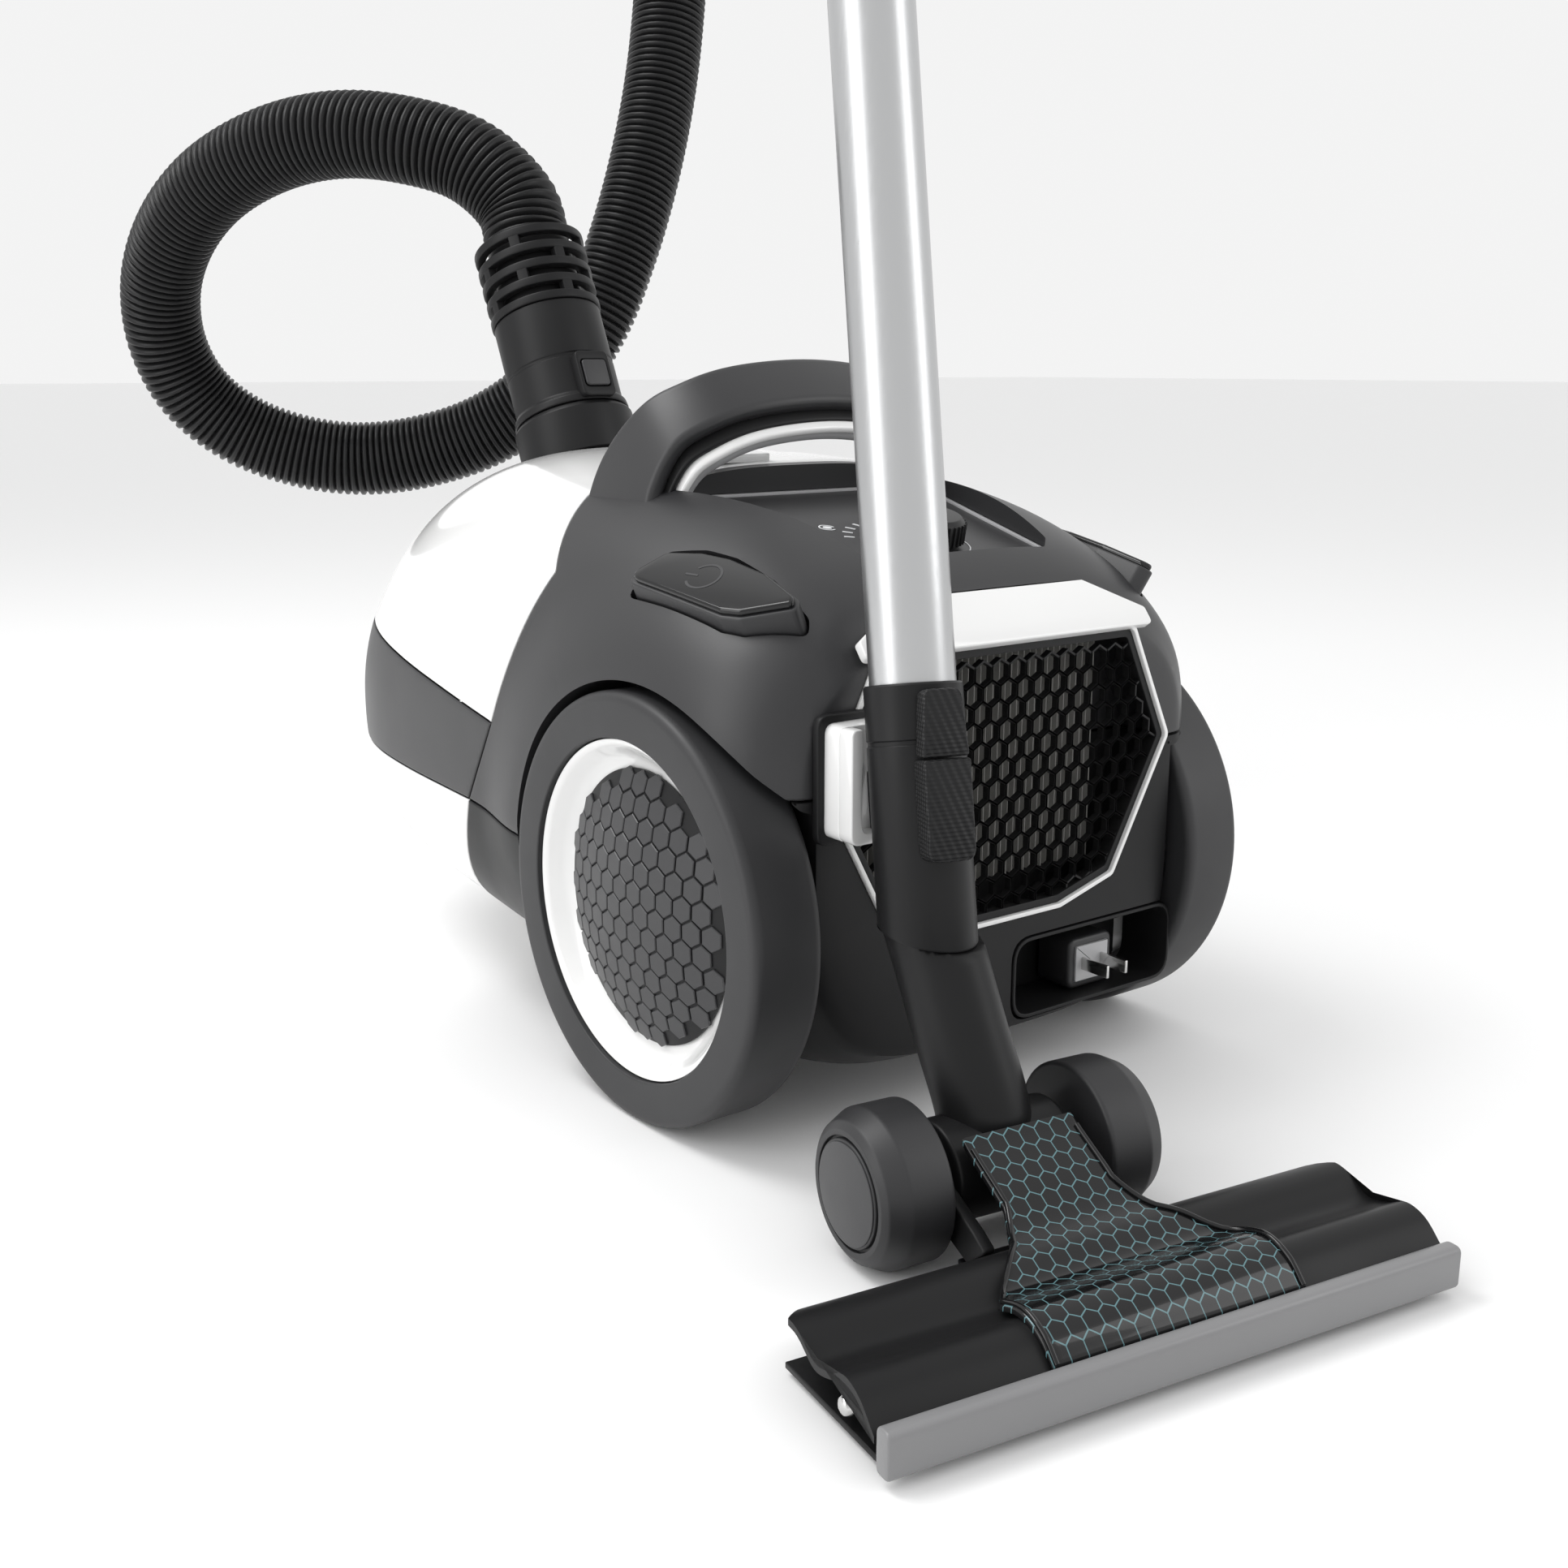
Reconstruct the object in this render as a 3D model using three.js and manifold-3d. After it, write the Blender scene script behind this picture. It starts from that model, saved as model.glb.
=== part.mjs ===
// Canister vacuum cleaner with its floor wand parked at the back, in millimetres, +Z up.
// The parts are built about the wheel axle's middle on the floor: +X to the right side,
// +Y to the nose. The whole is then moved so that the origin is under its middle.
import * as THREE from 'three';
import { mergeVertices } from 'three/addons/utils/BufferGeometryUtils.js';
import Module from 'manifold-3d';

const wasm = await Module();
wasm.setup();

// ---- driving dimensions -------------------------------------------------------------
const GAP = 0.3; // clearance between neighbouring pieces
const WALL = 3; // moulded shell thickness
const WHEEL_R = 100;
const WHEEL_FACE = 152; // tyre's outer face from the centre plane
const WHEEL_WIDTH = 36;
const RIM_R = 79;
const CAP_R = 64;
const WELL_FLOOR = 111; // inner wall of the wheel wells
const WELL_R = 104.5;
const FENDER_R = 114;
const FENDER_FACE = 147;
const AXLE_R = 7;

// Body stations: y, half width, top, bottom, widest height, upper and lower squareness
const STATIONS = [
  [-86, 114, 226, 34, 150, 3.4, 4.0],
  [-72, 130, 246, 28, 150, 3.2, 4.0],
  [-45, 141, 264, 26, 150, 3.0, 4.0],
  [0, 145, 280, 26, 150, 3.0, 4.0],
  [60, 145, 290, 27, 148, 3.0, 4.0],
  [130, 143, 294, 31, 146, 2.9, 4.0],
  [200, 140, 295, 36, 144, 2.8, 3.8],
  [260, 136, 290, 40, 142, 2.6, 3.6],
  [310, 129, 276, 47, 140, 2.4, 3.2],
  [350, 117, 250, 60, 138, 2.3, 2.8],
  [380, 100, 218, 80, 136, 2.2, 2.5],
  [398, 76, 186, 100, 135, 2.1, 2.2],
  [408, 40, 158, 120, 135, 2.0, 2.0],
];

// Side outlines (y, z) that part the shell into its mouldings
const SEAM_TOP = [[122, 330], [122, 284], [94, 243]];
const SEAM_BAND_TOP = [139, 163];
const SEAM_BAND_LOW = [170, 117];
const SEAM_BOTTOM = [203, 20];
const NOSE_SEAM_TOP = [430, 205];
const NOSE_SEAM_LOW = [430, 120];

const DECK_SLOPE = Math.atan2(25, 127);
const DECK_REAR = { y: -56, z: 252, half: 58 };
const DECK_FRONT_Y = 71;
const DECK_FRONT_HALF = 82;
const DIAL_Y = -21;

const INLET = new THREE.Vector3(0, 285, 292);
const INLET_DIR = new THREE.Vector3(0, 0.42, 0.907).normalize();
const CUFF_R = 32.5;
const COLLAR_END = 128; // along the inlet axis

const WAND_FOOT = new THREE.Vector3(-93, -127, 210); // top of the wand's lower cuff
const WAND_DIR = new THREE.Vector3(0.075, 0.202, 0.976).normalize();
const TUBE_R = 17.5;
const UPPER_TUBE_R = 15.9;
const LATCH_TURN = THREE.MathUtils.degToRad(-107);
const CLAMP_AT = 410;
const GRIP_AT = 480;

const HEAD_AXLE = new THREE.Vector3(-95, -180, 32);
const HEAD_YAW = THREE.MathUtils.degToRad(-9);
const ROLLER_R = 32;
const HEAD_HALF = 125;

const HOSE_R = 26;
const HOSE_SIDES = 8;

const LOOKS = {
  housing: [0x4a4a4c, 0.45, 0],
  black: [0x161617, 0.4, 0],
  gloss: [0x101012, 0.12, 0],
  white: [0xf2f2f2, 0.15, 0],
  lightGrey: [0xa9abad, 0.4, 0],
  rubber: [0x38383a, 0.6, 0],
  aluminium: [0xc9cbcd, 0.3, 1],
  steel: [0x9a9c9e, 0.25, 1],
  paper: [0xd9d4c8, 0.9, 0],
};

// ---- small tools --------------------------------------------------------------------
function signedVolume(xyz, index) {
  const corner = (i) => new THREE.Vector3().fromArray(xyz, 3 * index[i]);
  let sum = 0;
  for (let i = 0; i < index.length; i += 3) sum += corner(i).dot(corner(i + 1).cross(corner(i + 2)));
  return sum / 6;
}

// A closed geometry as a solid with its faces pointing out
function solid(geometry) {
  const bare = geometry.clone();
  bare.deleteAttribute('normal');
  bare.deleteAttribute('uv');
  const merged = mergeVertices(bare, 1e-4);
  const vertProperties = new Float32Array(merged.attributes.position.array);
  const triVerts = Uint32Array.from(merged.index.array);
  if (signedVolume(vertProperties, triVerts) < 0) {
    for (let i = 0; i < triVerts.length; i += 3) {
      [triVerts[i], triVerts[i + 1]] = [triVerts[i + 1], triVerts[i]];
    }
  }
  return new wasm.Manifold(new wasm.Mesh({ numProp: 3, vertProperties, triVerts }));
}

function geometryOf(shape) {
  const mesh = shape.getMesh();
  const geometry = new THREE.BufferGeometry();
  const xyz = new Float32Array(mesh.vertProperties);
  geometry.setAttribute('position', new THREE.BufferAttribute(xyz, 3));
  geometry.setIndex([...mesh.triVerts]);
  geometry.computeVertexNormals();
  return geometry;
}

function part(name, shape, look, parent) {
  const geometry = geometryOf(shape.isBufferGeometry ? solid(shape) : shape);
  const [color, roughness, metalness] = LOOKS[look];
  const material = new THREE.MeshStandardMaterial({ color, roughness, metalness });
  const mesh = new THREE.Mesh(geometry, material);
  mesh.name = name;
  parent.add(mesh);
  return mesh;
}

function polygon(points) {
  return new THREE.Shape(points.map(([x, y]) => new THREE.Vector2(x, y)));
}

// A flat outline pushed along one axis, from one height to another
function prism(shape, low, high, axis = 'z', curveSegments = 3) {
  const options = { depth: high - low, bevelEnabled: false, curveSegments };
  const geometry = new THREE.ExtrudeGeometry(shape, options);
  geometry.translate(0, 0, low);
  if (axis === 'x') geometry.applyMatrix4(new THREE.Matrix4().set(0, 0, 1, 0, 1, 0, 0, 0, 0, 1, 0, 0, 0, 0, 0, 1));
  if (axis === 'y') geometry.applyMatrix4(new THREE.Matrix4().set(1, 0, 0, 0, 0, 0, -1, 0, 0, 1, 0, 0, 0, 0, 0, 1));
  return geometry;
}

// A turned piece: profile points are (radius, height), along Z or along X
function turned(points, segments = 32, axis = 'z') {
  const profile = points.map(([r, h]) => new THREE.Vector2(r, h));
  const geometry = new THREE.LatheGeometry(profile, segments);
  geometry.rotateX(Math.PI / 2);
  if (axis === 'x') geometry.rotateY(Math.PI / 2);
  return geometry;
}

function ring(outer, inner, low, high, segments = 32, axis = 'z') {
  const profile = [[inner, low], [outer, low], [outer, high], [inner, high], [inner, low]];
  return turned(profile, segments, axis);
}

function rod(radius, low, high, segments = 24, axis = 'z') {
  return turned([[0, low], [radius, low], [radius, high], [0, high]], segments, axis);
}

function box(low, high) {
  const size = high.map((value, i) => value - low[i]);
  const geometry = new THREE.BoxGeometry(...size);
  return geometry.translate(...low.map((value, i) => value + size[i] / 2));
}

function roundedRect(w, h, r) {
  const shape = new THREE.Shape();
  shape.moveTo(-w / 2 + r, -h / 2);
  shape.lineTo(w / 2 - r, -h / 2);
  shape.absarc(w / 2 - r, -h / 2 + r, r, -Math.PI / 2, 0);
  shape.absarc(w / 2 - r, h / 2 - r, r, 0, Math.PI / 2);
  shape.absarc(-w / 2 + r, h / 2 - r, r, Math.PI / 2, Math.PI);
  shape.absarc(-w / 2 + r, -h / 2 + r, r, Math.PI, 1.5 * Math.PI);
  return shape;
}

function sweep(section, points, steps) {
  const extrudePath = new THREE.CatmullRomCurve3(points.map((p) => new THREE.Vector3(...p)));
  return new THREE.ExtrudeGeometry(section, { extrudePath, steps, curveSegments: 1 });
}

function circle(radius, sides) {
  const turn = (2 * Math.PI) / sides;
  const corner = (i) => [radius * Math.cos(i * turn), radius * Math.sin(i * turn)];
  return polygon(Array.from({ length: sides }, (_, i) => corner(i)));
}

// Moves each side of a convex or gently bent outline inwards by d
function inset(points, d) {
  const count = points.length;
  const line = (i) => {
    const [a, b] = [points[i % count], points[(i + 1) % count]];
    const length = Math.hypot(b[0] - a[0], b[1] - a[1]);
    const n = [-(b[1] - a[1]) / length, (b[0] - a[0]) / length];
    return { n, c: n[0] * a[0] + n[1] * a[1] + d };
  };
  return points.map((_, i) => {
    const [p, q] = [line((i + count - 1) % count), line(i)];
    const det = p.n[0] * q.n[1] - p.n[1] * q.n[0];
    return [(p.c * q.n[1] - q.c * p.n[1]) / det, (p.n[0] * q.c - q.n[0] * p.c) / det];
  });
}

function along(axisPoint, direction) {
  const turn = new THREE.Quaternion().setFromUnitVectors(new THREE.Vector3(0, 0, 1), direction);
  const group = new THREE.Group();
  group.position.copy(axisPoint);
  group.quaternion.copy(turn);
  group.updateMatrix();
  return group;
}

// ---- the body's outer form ----------------------------------------------------------
function station(y) {
  const last = STATIONS.length - 2;
  const i = Math.min(last, Math.max(0, STATIONS.findIndex((row) => row[0] >= y) - 1));
  const [a, b] = [STATIONS[i], STATIONS[i + 1]];
  const before = STATIONS[Math.max(0, i - 1)];
  const after = STATIONS[Math.min(STATIONS.length - 1, i + 2)];
  const t = (y - a[0]) / (b[0] - a[0]);
  return a.slice(1).map((value, k) => {
    const next = b[k + 1];
    const m0 = ((next - before[k + 1]) / (b[0] - before[0])) * (b[0] - a[0]);
    const m1 = ((after[k + 1] - value) / (after[0] - a[0])) * (b[0] - a[0]);
    const t2 = t * t;
    const t3 = t2 * t;
    return (2 * t3 - 3 * t2 + 1) * value + (t3 - 2 * t2 + t) * m0 + (3 * t2 - 2 * t3) * next + (t3 - t2) * m1;
  });
}

function bodySection(y, thin, count) {
  const [half, top, bottom, middle, upper, lower] = station(y);
  return Array.from({ length: count }, (_, i) => {
    const angle = (2 * Math.PI * i) / count;
    const [c, s] = [Math.cos(angle), Math.sin(angle)];
    const n = s > 0 ? upper : lower;
    const height = (s > 0 ? top - middle : middle - bottom) - thin;
    const x = (half - thin) * Math.sign(c) * Math.abs(c) ** (2 / n);
    return [x, y, middle + height * Math.sign(s) * Math.abs(s) ** (2 / n)];
  });
}

function bodyLoft(thin) {
  const count = 24;
  const ys = [-86 + thin, -72, -45, 0, 60, 130, 200, 260, 310, 350, 380, 398, 408 - thin];
  const rows = ys.map((y) => bodySection(y, thin, count));
  const vertices = rows.flat(2);
  const faces = [];
  for (let r = 0; r < rows.length - 1; r += 1) {
    for (let i = 0; i < count; i += 1) {
      const [a, b] = [r * count + i, r * count + ((i + 1) % count)];
      faces.push(a, b, b + count, a, b + count, a + count);
    }
  }
  const end = (rows.length - 1) * count;
  for (let i = 1; i < count - 1; i += 1) {
    faces.push(0, i + 1, i, end, end + i, end + i + 1);
  }
  const geometry = new THREE.BufferGeometry();
  geometry.setAttribute('position', new THREE.Float32BufferAttribute(vertices, 3));
  geometry.setIndex(faces);
  return solid(geometry);
}

function fender(side) {
  const from = THREE.MathUtils.degToRad(12);
  const to = THREE.MathUtils.degToRad(149);
  const shape = new THREE.Shape();
  shape.absarc(0, WHEEL_R, FENDER_R, from, to, false);
  shape.absarc(0, WHEEL_R, FENDER_R - 24, to, from, true);
  const [low, high] = side > 0 ? [WELL_FLOOR, FENDER_FACE] : [-FENDER_FACE, -WELL_FLOOR];
  return solid(prism(shape, low, high, 'x', 14));
}

function well(side, grow) {
  const [near, far] = [WELL_FLOOR - grow, 200];
  const [low, high] = side > 0 ? [near, far] : [-far, -near];
  return solid(rod(WELL_R + grow, low, high, 28, 'x').translate(0, 0, WHEEL_R));
}

function bodyShell() {
  let outer = bodyLoft(0).add(fender(1)).add(fender(-1));
  let cavity = bodyLoft(WALL);
  for (const side of [-1, 1]) {
    outer = outer.subtract(well(side, 0));
    cavity = cavity.subtract(well(side, WALL));
  }
  return outer.subtract(cavity);
}

const GRILLE = [[-72, 98], [-36, 88], [36, 88], [72, 98], [108, 164], [80, 221], [-80, 221], [-108, 164]];
const TRIM_TOP = [[-88, 217], [88, 217], [88, 226], [56, 244], [-56, 244], [-88, 226]];
const TOP_TRIM_TILT = THREE.MathUtils.degToRad(-38);

function deckPrism(thin, low, high) {
  const [r, f] = [DECK_REAR.half - thin, DECK_FRONT_HALF - thin];
  const [y0, y1] = [DECK_REAR.y + thin, DECK_FRONT_Y - thin];
  const shape = polygon([[-r + 8, y0], [r - 8, y0], [r, y0 + 8], [f, y1], [-f, y1], [-r, y0 + 8]]);
  return prism(shape, low, high);
}

function topTrim(grow) {
  const shape = prism(polygon(inset(TRIM_TOP, -grow)), -grow, 5 + grow, 'y');
  shape.translate(0, 0, -221).rotateX(TOP_TRIM_TILT).translate(0, -86, 221);
  return shape;
}

function pedalPrism(side, thin, low, high) {
  const outline = [[-20, 46], [-17, 20], [-13, -19], [-9, -29], [9, -47], [14, -42], [18, -17], [17, 8], [13, 25], [4, 43]];
  const shape = polygon(inset(outline, thin));
  const geometry = prism(shape, low, high).rotateY(-0.495).rotateX(0.2);
  geometry.translate(-113, -24, 238);
  return side < 0 ? geometry : geometry.applyMatrix4(new THREE.Matrix4().makeScale(-1, 1, 1));
}

// ---- mouldings of the canister ------------------------------------------------------
function addShell(body) {
  const shell = bodyShell();
  const region = (points) => shell.intersect(solid(prism(polygon(inset(points, GAP / 2)), -200, 200, 'x')));
  const rearSplit = [[-200, 163], [-40, 163], [40, 108], SEAM_BAND_LOW];

  let housing = region([...rearSplit, SEAM_BAND_TOP, ...[...SEAM_TOP].reverse(), [-200, 330]]);
  housing = housing.subtract(solid(deckPrism(0, 200, 330)));
  housing = housing.subtract(solid(prism(polygon(GRILLE), 60, 120, 'y')));
  housing = housing.subtract(solid(topTrim(GAP)));
  for (const side of [-1, 1]) housing = housing.subtract(solid(pedalPrism(side, -1.2, -30, 40)));
  part('rear_housing', housing, 'housing', body);

  let lower = region([[-200, 0], SEAM_BOTTOM, SEAM_BAND_LOW, [40, 108], [-40, 163], [-200, 163]]);
  lower = lower.subtract(solid(prism(polygon(GRILLE), 60, 120, 'y')));
  lower = lower.subtract(solid(prism(roundedRect(112, 42, 12), 60, 120, 'y').translate(62, 0, 57)));
  lower = lower.subtract(solid(rod(AXLE_R + GAP, -140, 140, 24, 'x').translate(0, 0, WHEEL_R)));
  part('lower_shell', lower, 'black', body);

  const band = region([SEAM_BAND_LOW, NOSE_SEAM_LOW, NOSE_SEAM_TOP, SEAM_BAND_TOP]);
  part('nose_band', band, 'housing', body);

  let front = region([SEAM_BOTTOM, [430, 20], NOSE_SEAM_LOW, SEAM_BAND_LOW]);
  front = front.subtract(solid(rod(6 + GAP, 20, 90).translate(0, CASTER_Y, 0)));
  part('front_lower_shell', front, 'white', body);
  return region([SEAM_BAND_TOP, NOSE_SEAM_TOP, [430, 330], ...SEAM_TOP]);
}

function addDeck(body) {
  const tilted = (geometry) => {
    geometry.translate(0, -DECK_REAR.y, 0).rotateX(DECK_SLOPE);
    return geometry.translate(0, DECK_REAR.y, DECK_REAR.z);
  };
  const lip = 1 / Math.cos(DECK_SLOPE);
  const plate = deckPrism(GAP * 2 * lip, -4, 0);
  const bore = rod(20.3, -10, 10, 22).translate(0, DIAL_Y, 0);
  part('control_deck', solid(tilted(plate)).subtract(solid(tilted(bore))), 'housing', body);
}

function addGrille(body) {
  const plate = solid(prism(polygon(inset(GRILLE, 3)), 84, 88, 'y'));
  let grille = plate;
  const pitch = 29;
  for (let row = 0; row < 4; row += 1) {
    for (let col = -3; col <= 3; col += 1) {
      const x = (col + (row % 2) / 2) * pitch;
      const z = 116 + row * pitch * 0.92;
      const room = 80 - Math.abs(z - 164) * 0.45;
      if (Math.abs(x) < room) grille = grille.subtract(solid(prism(circle(12, 6), 80, 92, 'y').translate(x, 0, z)));
    }
  }
  part('exhaust_grille', grille, 'black', body);
  const frame = solid(prism(polygon(inset(GRILLE, 0.4)), 84, 89, 'y'));
  const hole = solid(prism(polygon(inset(GRILLE, 2.7)), 80, 95, 'y'));
  let trim = frame.subtract(hole);
  trim = trim.subtract(solid(topTrim(GAP)));
  part('grille_trim', trim, 'white', body);
  part('grille_top_trim', topTrim(0), 'white', body);
  part('exhaust_filter', box([-78, -78, 104], [78, -52, 212]), 'paper', body);
}

function addParkDock(body) {
  const block = solid(prism(roundedRect(28, 49, 5), 89.4, 109.4, 'y').translate(-96, 0, 171.5));
  const slot = solid(box([-104, -120, 151.5], [-89, -101, 210]));
  part('park_dock', block.subtract(slot), 'white', body);
}

function addHandle(body) {
  const outside = bodyLoft(-GAP);
  const arch = [[-93, 94, 262], [-88, 86, 288], [-79, 72, 311], [-45, 60, 326], [0, 57, 330]];
  const path = [...arch, ...arch.slice(0, -1).reverse().map(([x, y, z]) => [-x, y, z])];
  const bar = solid(sweep(roundedRect(32, 11, 4), path, 14)).subtract(outside);
  const inner = path.map(([x, y, z]) => [x * 0.86, y - 1, z - 12]);
  const liner = solid(sweep(roundedRect(26, 9, 3.5), inner, 14)).subtract(outside).subtract(bar);
  const clear = solid(sweep(roundedRect(33, 11.6, 4), path, 14));
  part('carry_handle', bar, 'housing', body);
  part('handle_liner', liner.subtract(clear), 'white', body);
}

function addDial(parent) {
  const group = new THREE.Group();
  const up = DIAL_Y - DECK_REAR.y;
  group.position.set(0, DECK_REAR.y + up * Math.cos(DECK_SLOPE), DECK_REAR.z + up * Math.sin(DECK_SLOPE));
  group.rotation.x = DECK_SLOPE;
  parent.add(group);
  const knob = [[0, -7], [20, -7], [20, 2], [22.5, 3], [22.5, 12], [20, 14.5], [0, 14.5]];
  part('speed_dial', turned(knob, 22), 'black', group);
}

function addPedals(body) {
  for (const [side, name] of [[-1, 'power_pedal'], [1, 'rewind_pedal']]) {
    part(name, pedalPrism(side, 0, -12, 12), 'gloss', body);
  }
}

// ---- wheels ---------------------------------------------------------------------------
function addWheel(body, side, name) {
  const group = new THREE.Group();
  group.position.z = WHEEL_R;
  group.rotation.z = side < 0 ? Math.PI : 0;
  body.add(group);
  const [face, back] = [WHEEL_FACE, WHEEL_FACE - WHEEL_WIDTH];
  const tyre = [[RIM_R, back + 6], [RIM_R, face - 1], [RIM_R + 1, face], [WHEEL_R - 5, face],
    [WHEEL_R, face - 5], [WHEEL_R, back + 5], [WHEEL_R - 5, back], [RIM_R + 6, back], [RIM_R, back + 6]];
  part(`tyre_${name}`, turned(tyre, 30, 'x'), 'rubber', group);
  const rim = [[AXLE_R + GAP, back + 2], [RIM_R - 8, back + 2], [RIM_R - GAP, back + 8], [RIM_R - GAP, face - 3],
    [CAP_R + 1, face - 14], [AXLE_R + GAP, face - 14], [AXLE_R + GAP, back + 2]];
  part(`rim_${name}`, turned(rim, 30, 'x'), 'white', group);
  const low = face - 14 + GAP;
  const dome = [[0, low], [CAP_R, low], [CAP_R, low + 2], [CAP_R * 0.8, low + 7], [CAP_R * 0.5, low + 10.5],
    [CAP_R * 0.2, low + 12], [0, low + 12.4]];
  part(`hub_cap_${name}`, turned(dome, 22, 'x'), 'black', group);
  part(`axle_${name}`, rod(AXLE_R, WELL_FLOOR - 12, face - 14, 14, 'x'), 'steel', group);
}

const CASTER_Y = 300;
const CASTER_R = 17;
const CASTER_TRAIL = 12;

function addCaster(body) {
  const group = new THREE.Group();
  group.position.set(0, CASTER_Y, 0);
  body.add(group);
  let fork = solid(rod(6, 36, 62, 14)).add(solid(rod(17, 36, 41, 20)));
  for (const side of [-1, 1]) {
    const shape = polygon([[-CASTER_TRAIL - 6, 11], [-CASTER_TRAIL + 6, 11], [9, 36.5], [-15, 36.5]]);
    fork = fork.add(solid(prism(shape, side * 11 - 2, side * 11 + 2, 'x')));
  }
  const pin = rod(3, -13.5, 13.5, 10, 'x').translate(0, -CASTER_TRAIL, CASTER_R);
  part('caster_fork', fork.add(solid(pin)), 'black', group);
  const tread = ring(CASTER_R, 3 + GAP, -8, 8, 22, 'x');
  part('caster_wheel', tread.translate(0, -CASTER_TRAIL, CASTER_R), 'rubber', group);
}

// ---- inside the canister ----------------------------------------------------------------
function addInside(body) {
  const can = [[0, -38], [46, -38], [50, -32], [50, 60], [40, 70], [0, 70]];
  part('motor_housing', turned(can, 28).rotateX(-Math.PI / 2).translate(0, 0, 185), 'black', body);
  const fan = turned([[0, -7], [44, -7], [44, 7], [0, 7]], 24).rotateX(-Math.PI / 2);
  part('fan_impeller', fan.translate(0, 79, 185), 'lightGrey', body);
  const reel = [[0, 50], [74, 50], [74, 53], [40, 53], [40, 97], [74, 97], [74, 100], [0, 100]];
  part('cord_reel', turned(reel, 22).translate(0, 34, 0), 'black', body);
  part('wound_cord', ring(68, 40 + GAP, 53 + GAP, 97 - GAP, 22).translate(0, 34, 0), 'rubber', body);
  const bag = new THREE.SphereGeometry(1, 14, 9).scale(96, 84, 62);
  part('dust_bag', bag.translate(0, 245, 166), 'paper', body);
}

function addPlug(body) {
  let plug = solid(prism(roundedRect(30, 26, 4), 58, 80, 'y').translate(68, 0, 53));
  for (const x of [61.5, 74.5]) plug = plug.add(solid(box([x - 0.8, -98, 49.8], [x + 0.8, -79, 56.2])));
  part('mains_plug', plug, 'lightGrey', body);
}

// ---- lid with the hose inlet ------------------------------------------------------------
function addLid(body, lidShell) {
  const axis = along(INLET, INLET_DIR);
  body.add(axis);
  const hole = solid(rod(28, -60, 60, 24).applyMatrix4(axis.matrix));
  let lid = lidShell.subtract(hole);
  lid = lid.subtract(solid(ring(36.6, 20, -16, 60, 24).applyMatrix4(axis.matrix)));
  part('dust_lid', lid, 'white', body);
  part('inlet_ring', ring(36, 24, -14, 15, 24), 'black', axis);
  const cuffBore = solid(rod(24, 0, 100, 24));
  const cuff = [[0, 15.3], [35, 15.3], [CUFF_R, 20], [CUFF_R, 80], [0, 80]];
  const boss = solid(box([-11, -38, 16], [11, -20, 44]));
  const pocket = solid(box([-8.3, -40, 21.7], [8.3, -30, 38.3]));
  const cuffShape = solid(turned(cuff, 24)).add(boss).subtract(cuffBore).subtract(pocket);
  part('hose_cuff', cuffShape, 'black', axis);
  part('cuff_button', box([-8, -39, 22], [8, -33.5 - GAP, 38]), 'black', axis);
  part('hose_collar', collar(), 'black', axis);
}

// A springy sleeve whose rings are parted by staggered slots
function collar() {
  let sleeve = solid(ring(33.5, 27.5, 80.3, COLLAR_END, 16));
  for (let row = 0; row < 4; row += 1) {
    const low = 85 + row * 10.6;
    const slot = solid(ring(36, 25, low, low + 5.2, 16));
    const posts = [0, 1].map((i) => {
      const post = box([-3, -40, low - 1], [3, 40, low + 7]);
      return solid(post.rotateZ((i * Math.PI) / 2 + (row % 2) * 0.785));
    });
    sleeve = sleeve.subtract(posts.reduce((left, post) => left.subtract(post), slot));
  }
  return sleeve;
}

function addLatch(body) {
  const tab = prism(roundedRect(36, 15, 4), 0, 4.5).rotateX(0.04).translate(-30, 82.5, 291.6);
  part('lid_latch', solid(tab).subtract(bodyLoft(-GAP)), 'white', body);
}

// ---- hose --------------------------------------------------------------------------------
// The hose's middle line: out of the collar, round its loop ahead of the nose, up and over
// to the hand grip. It is made as three lengths that meet face to face.
const HOSE_ROUTE = [
  [0, 339.1, 408.85], [0, 350.5, 433.4], [-18, 374, 460], [-48, 407, 474], [-76, 445, 478], [-103, 487, 470],
  [-126, 530, 450], [-139, 566, 421], [-142, 591, 388], [-135, 605, 352], [-118, 608, 320],
  [-90, 601, 295], [-54, 586, 279], [-16, 566, 273], [22, 541, 278], [60, 512, 294], [94, 484, 324],
  [121, 467, 366], [145, 462, 420], [169, 466, 480], [190, 476, 540], [205, 486, 600], [214, 492, 660],
  [213, 488, 720], [203, 472, 780], [182, 442, 836], [150, 398, 880], [108, 344, 905], [64, 286, 908],
  [22, 232, 892], [-14, 192, 868], [-42.6, 157.8, 850.8], [-44.09, 121.6, 834.56],
];
const HOSE_CUTS = [0, 0.55, 0.74, 1];

class Stretch extends THREE.Curve {
  constructor(whole, from, to) {
    super();
    this.whole = whole;
    this.from = from;
    this.to = to;
  }

  getPoint(t) {
    return this.whole.getPointAt(this.from + (this.to - this.from) * t);
  }
}

function addHose(root) {
  const route = new THREE.CatmullRomCurve3(HOSE_ROUTE.map((p) => new THREE.Vector3(...p)));
  const length = route.getLength();
  ['hose_loop', 'hose_riser', 'hose_arc'].forEach((name, i) => {
    const from = HOSE_CUTS[i] + (i ? GAP / length : 0);
    const to = HOSE_CUTS[i + 1];
    const extrudePath = new Stretch(route, from, to);
    const steps = Math.round(((to - from) * length) / 42);
    const tube = new THREE.ExtrudeGeometry(circle(HOSE_R, HOSE_SIDES), { extrudePath, steps });
    part(name, tube, 'rubber', root);
  });
}

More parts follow.
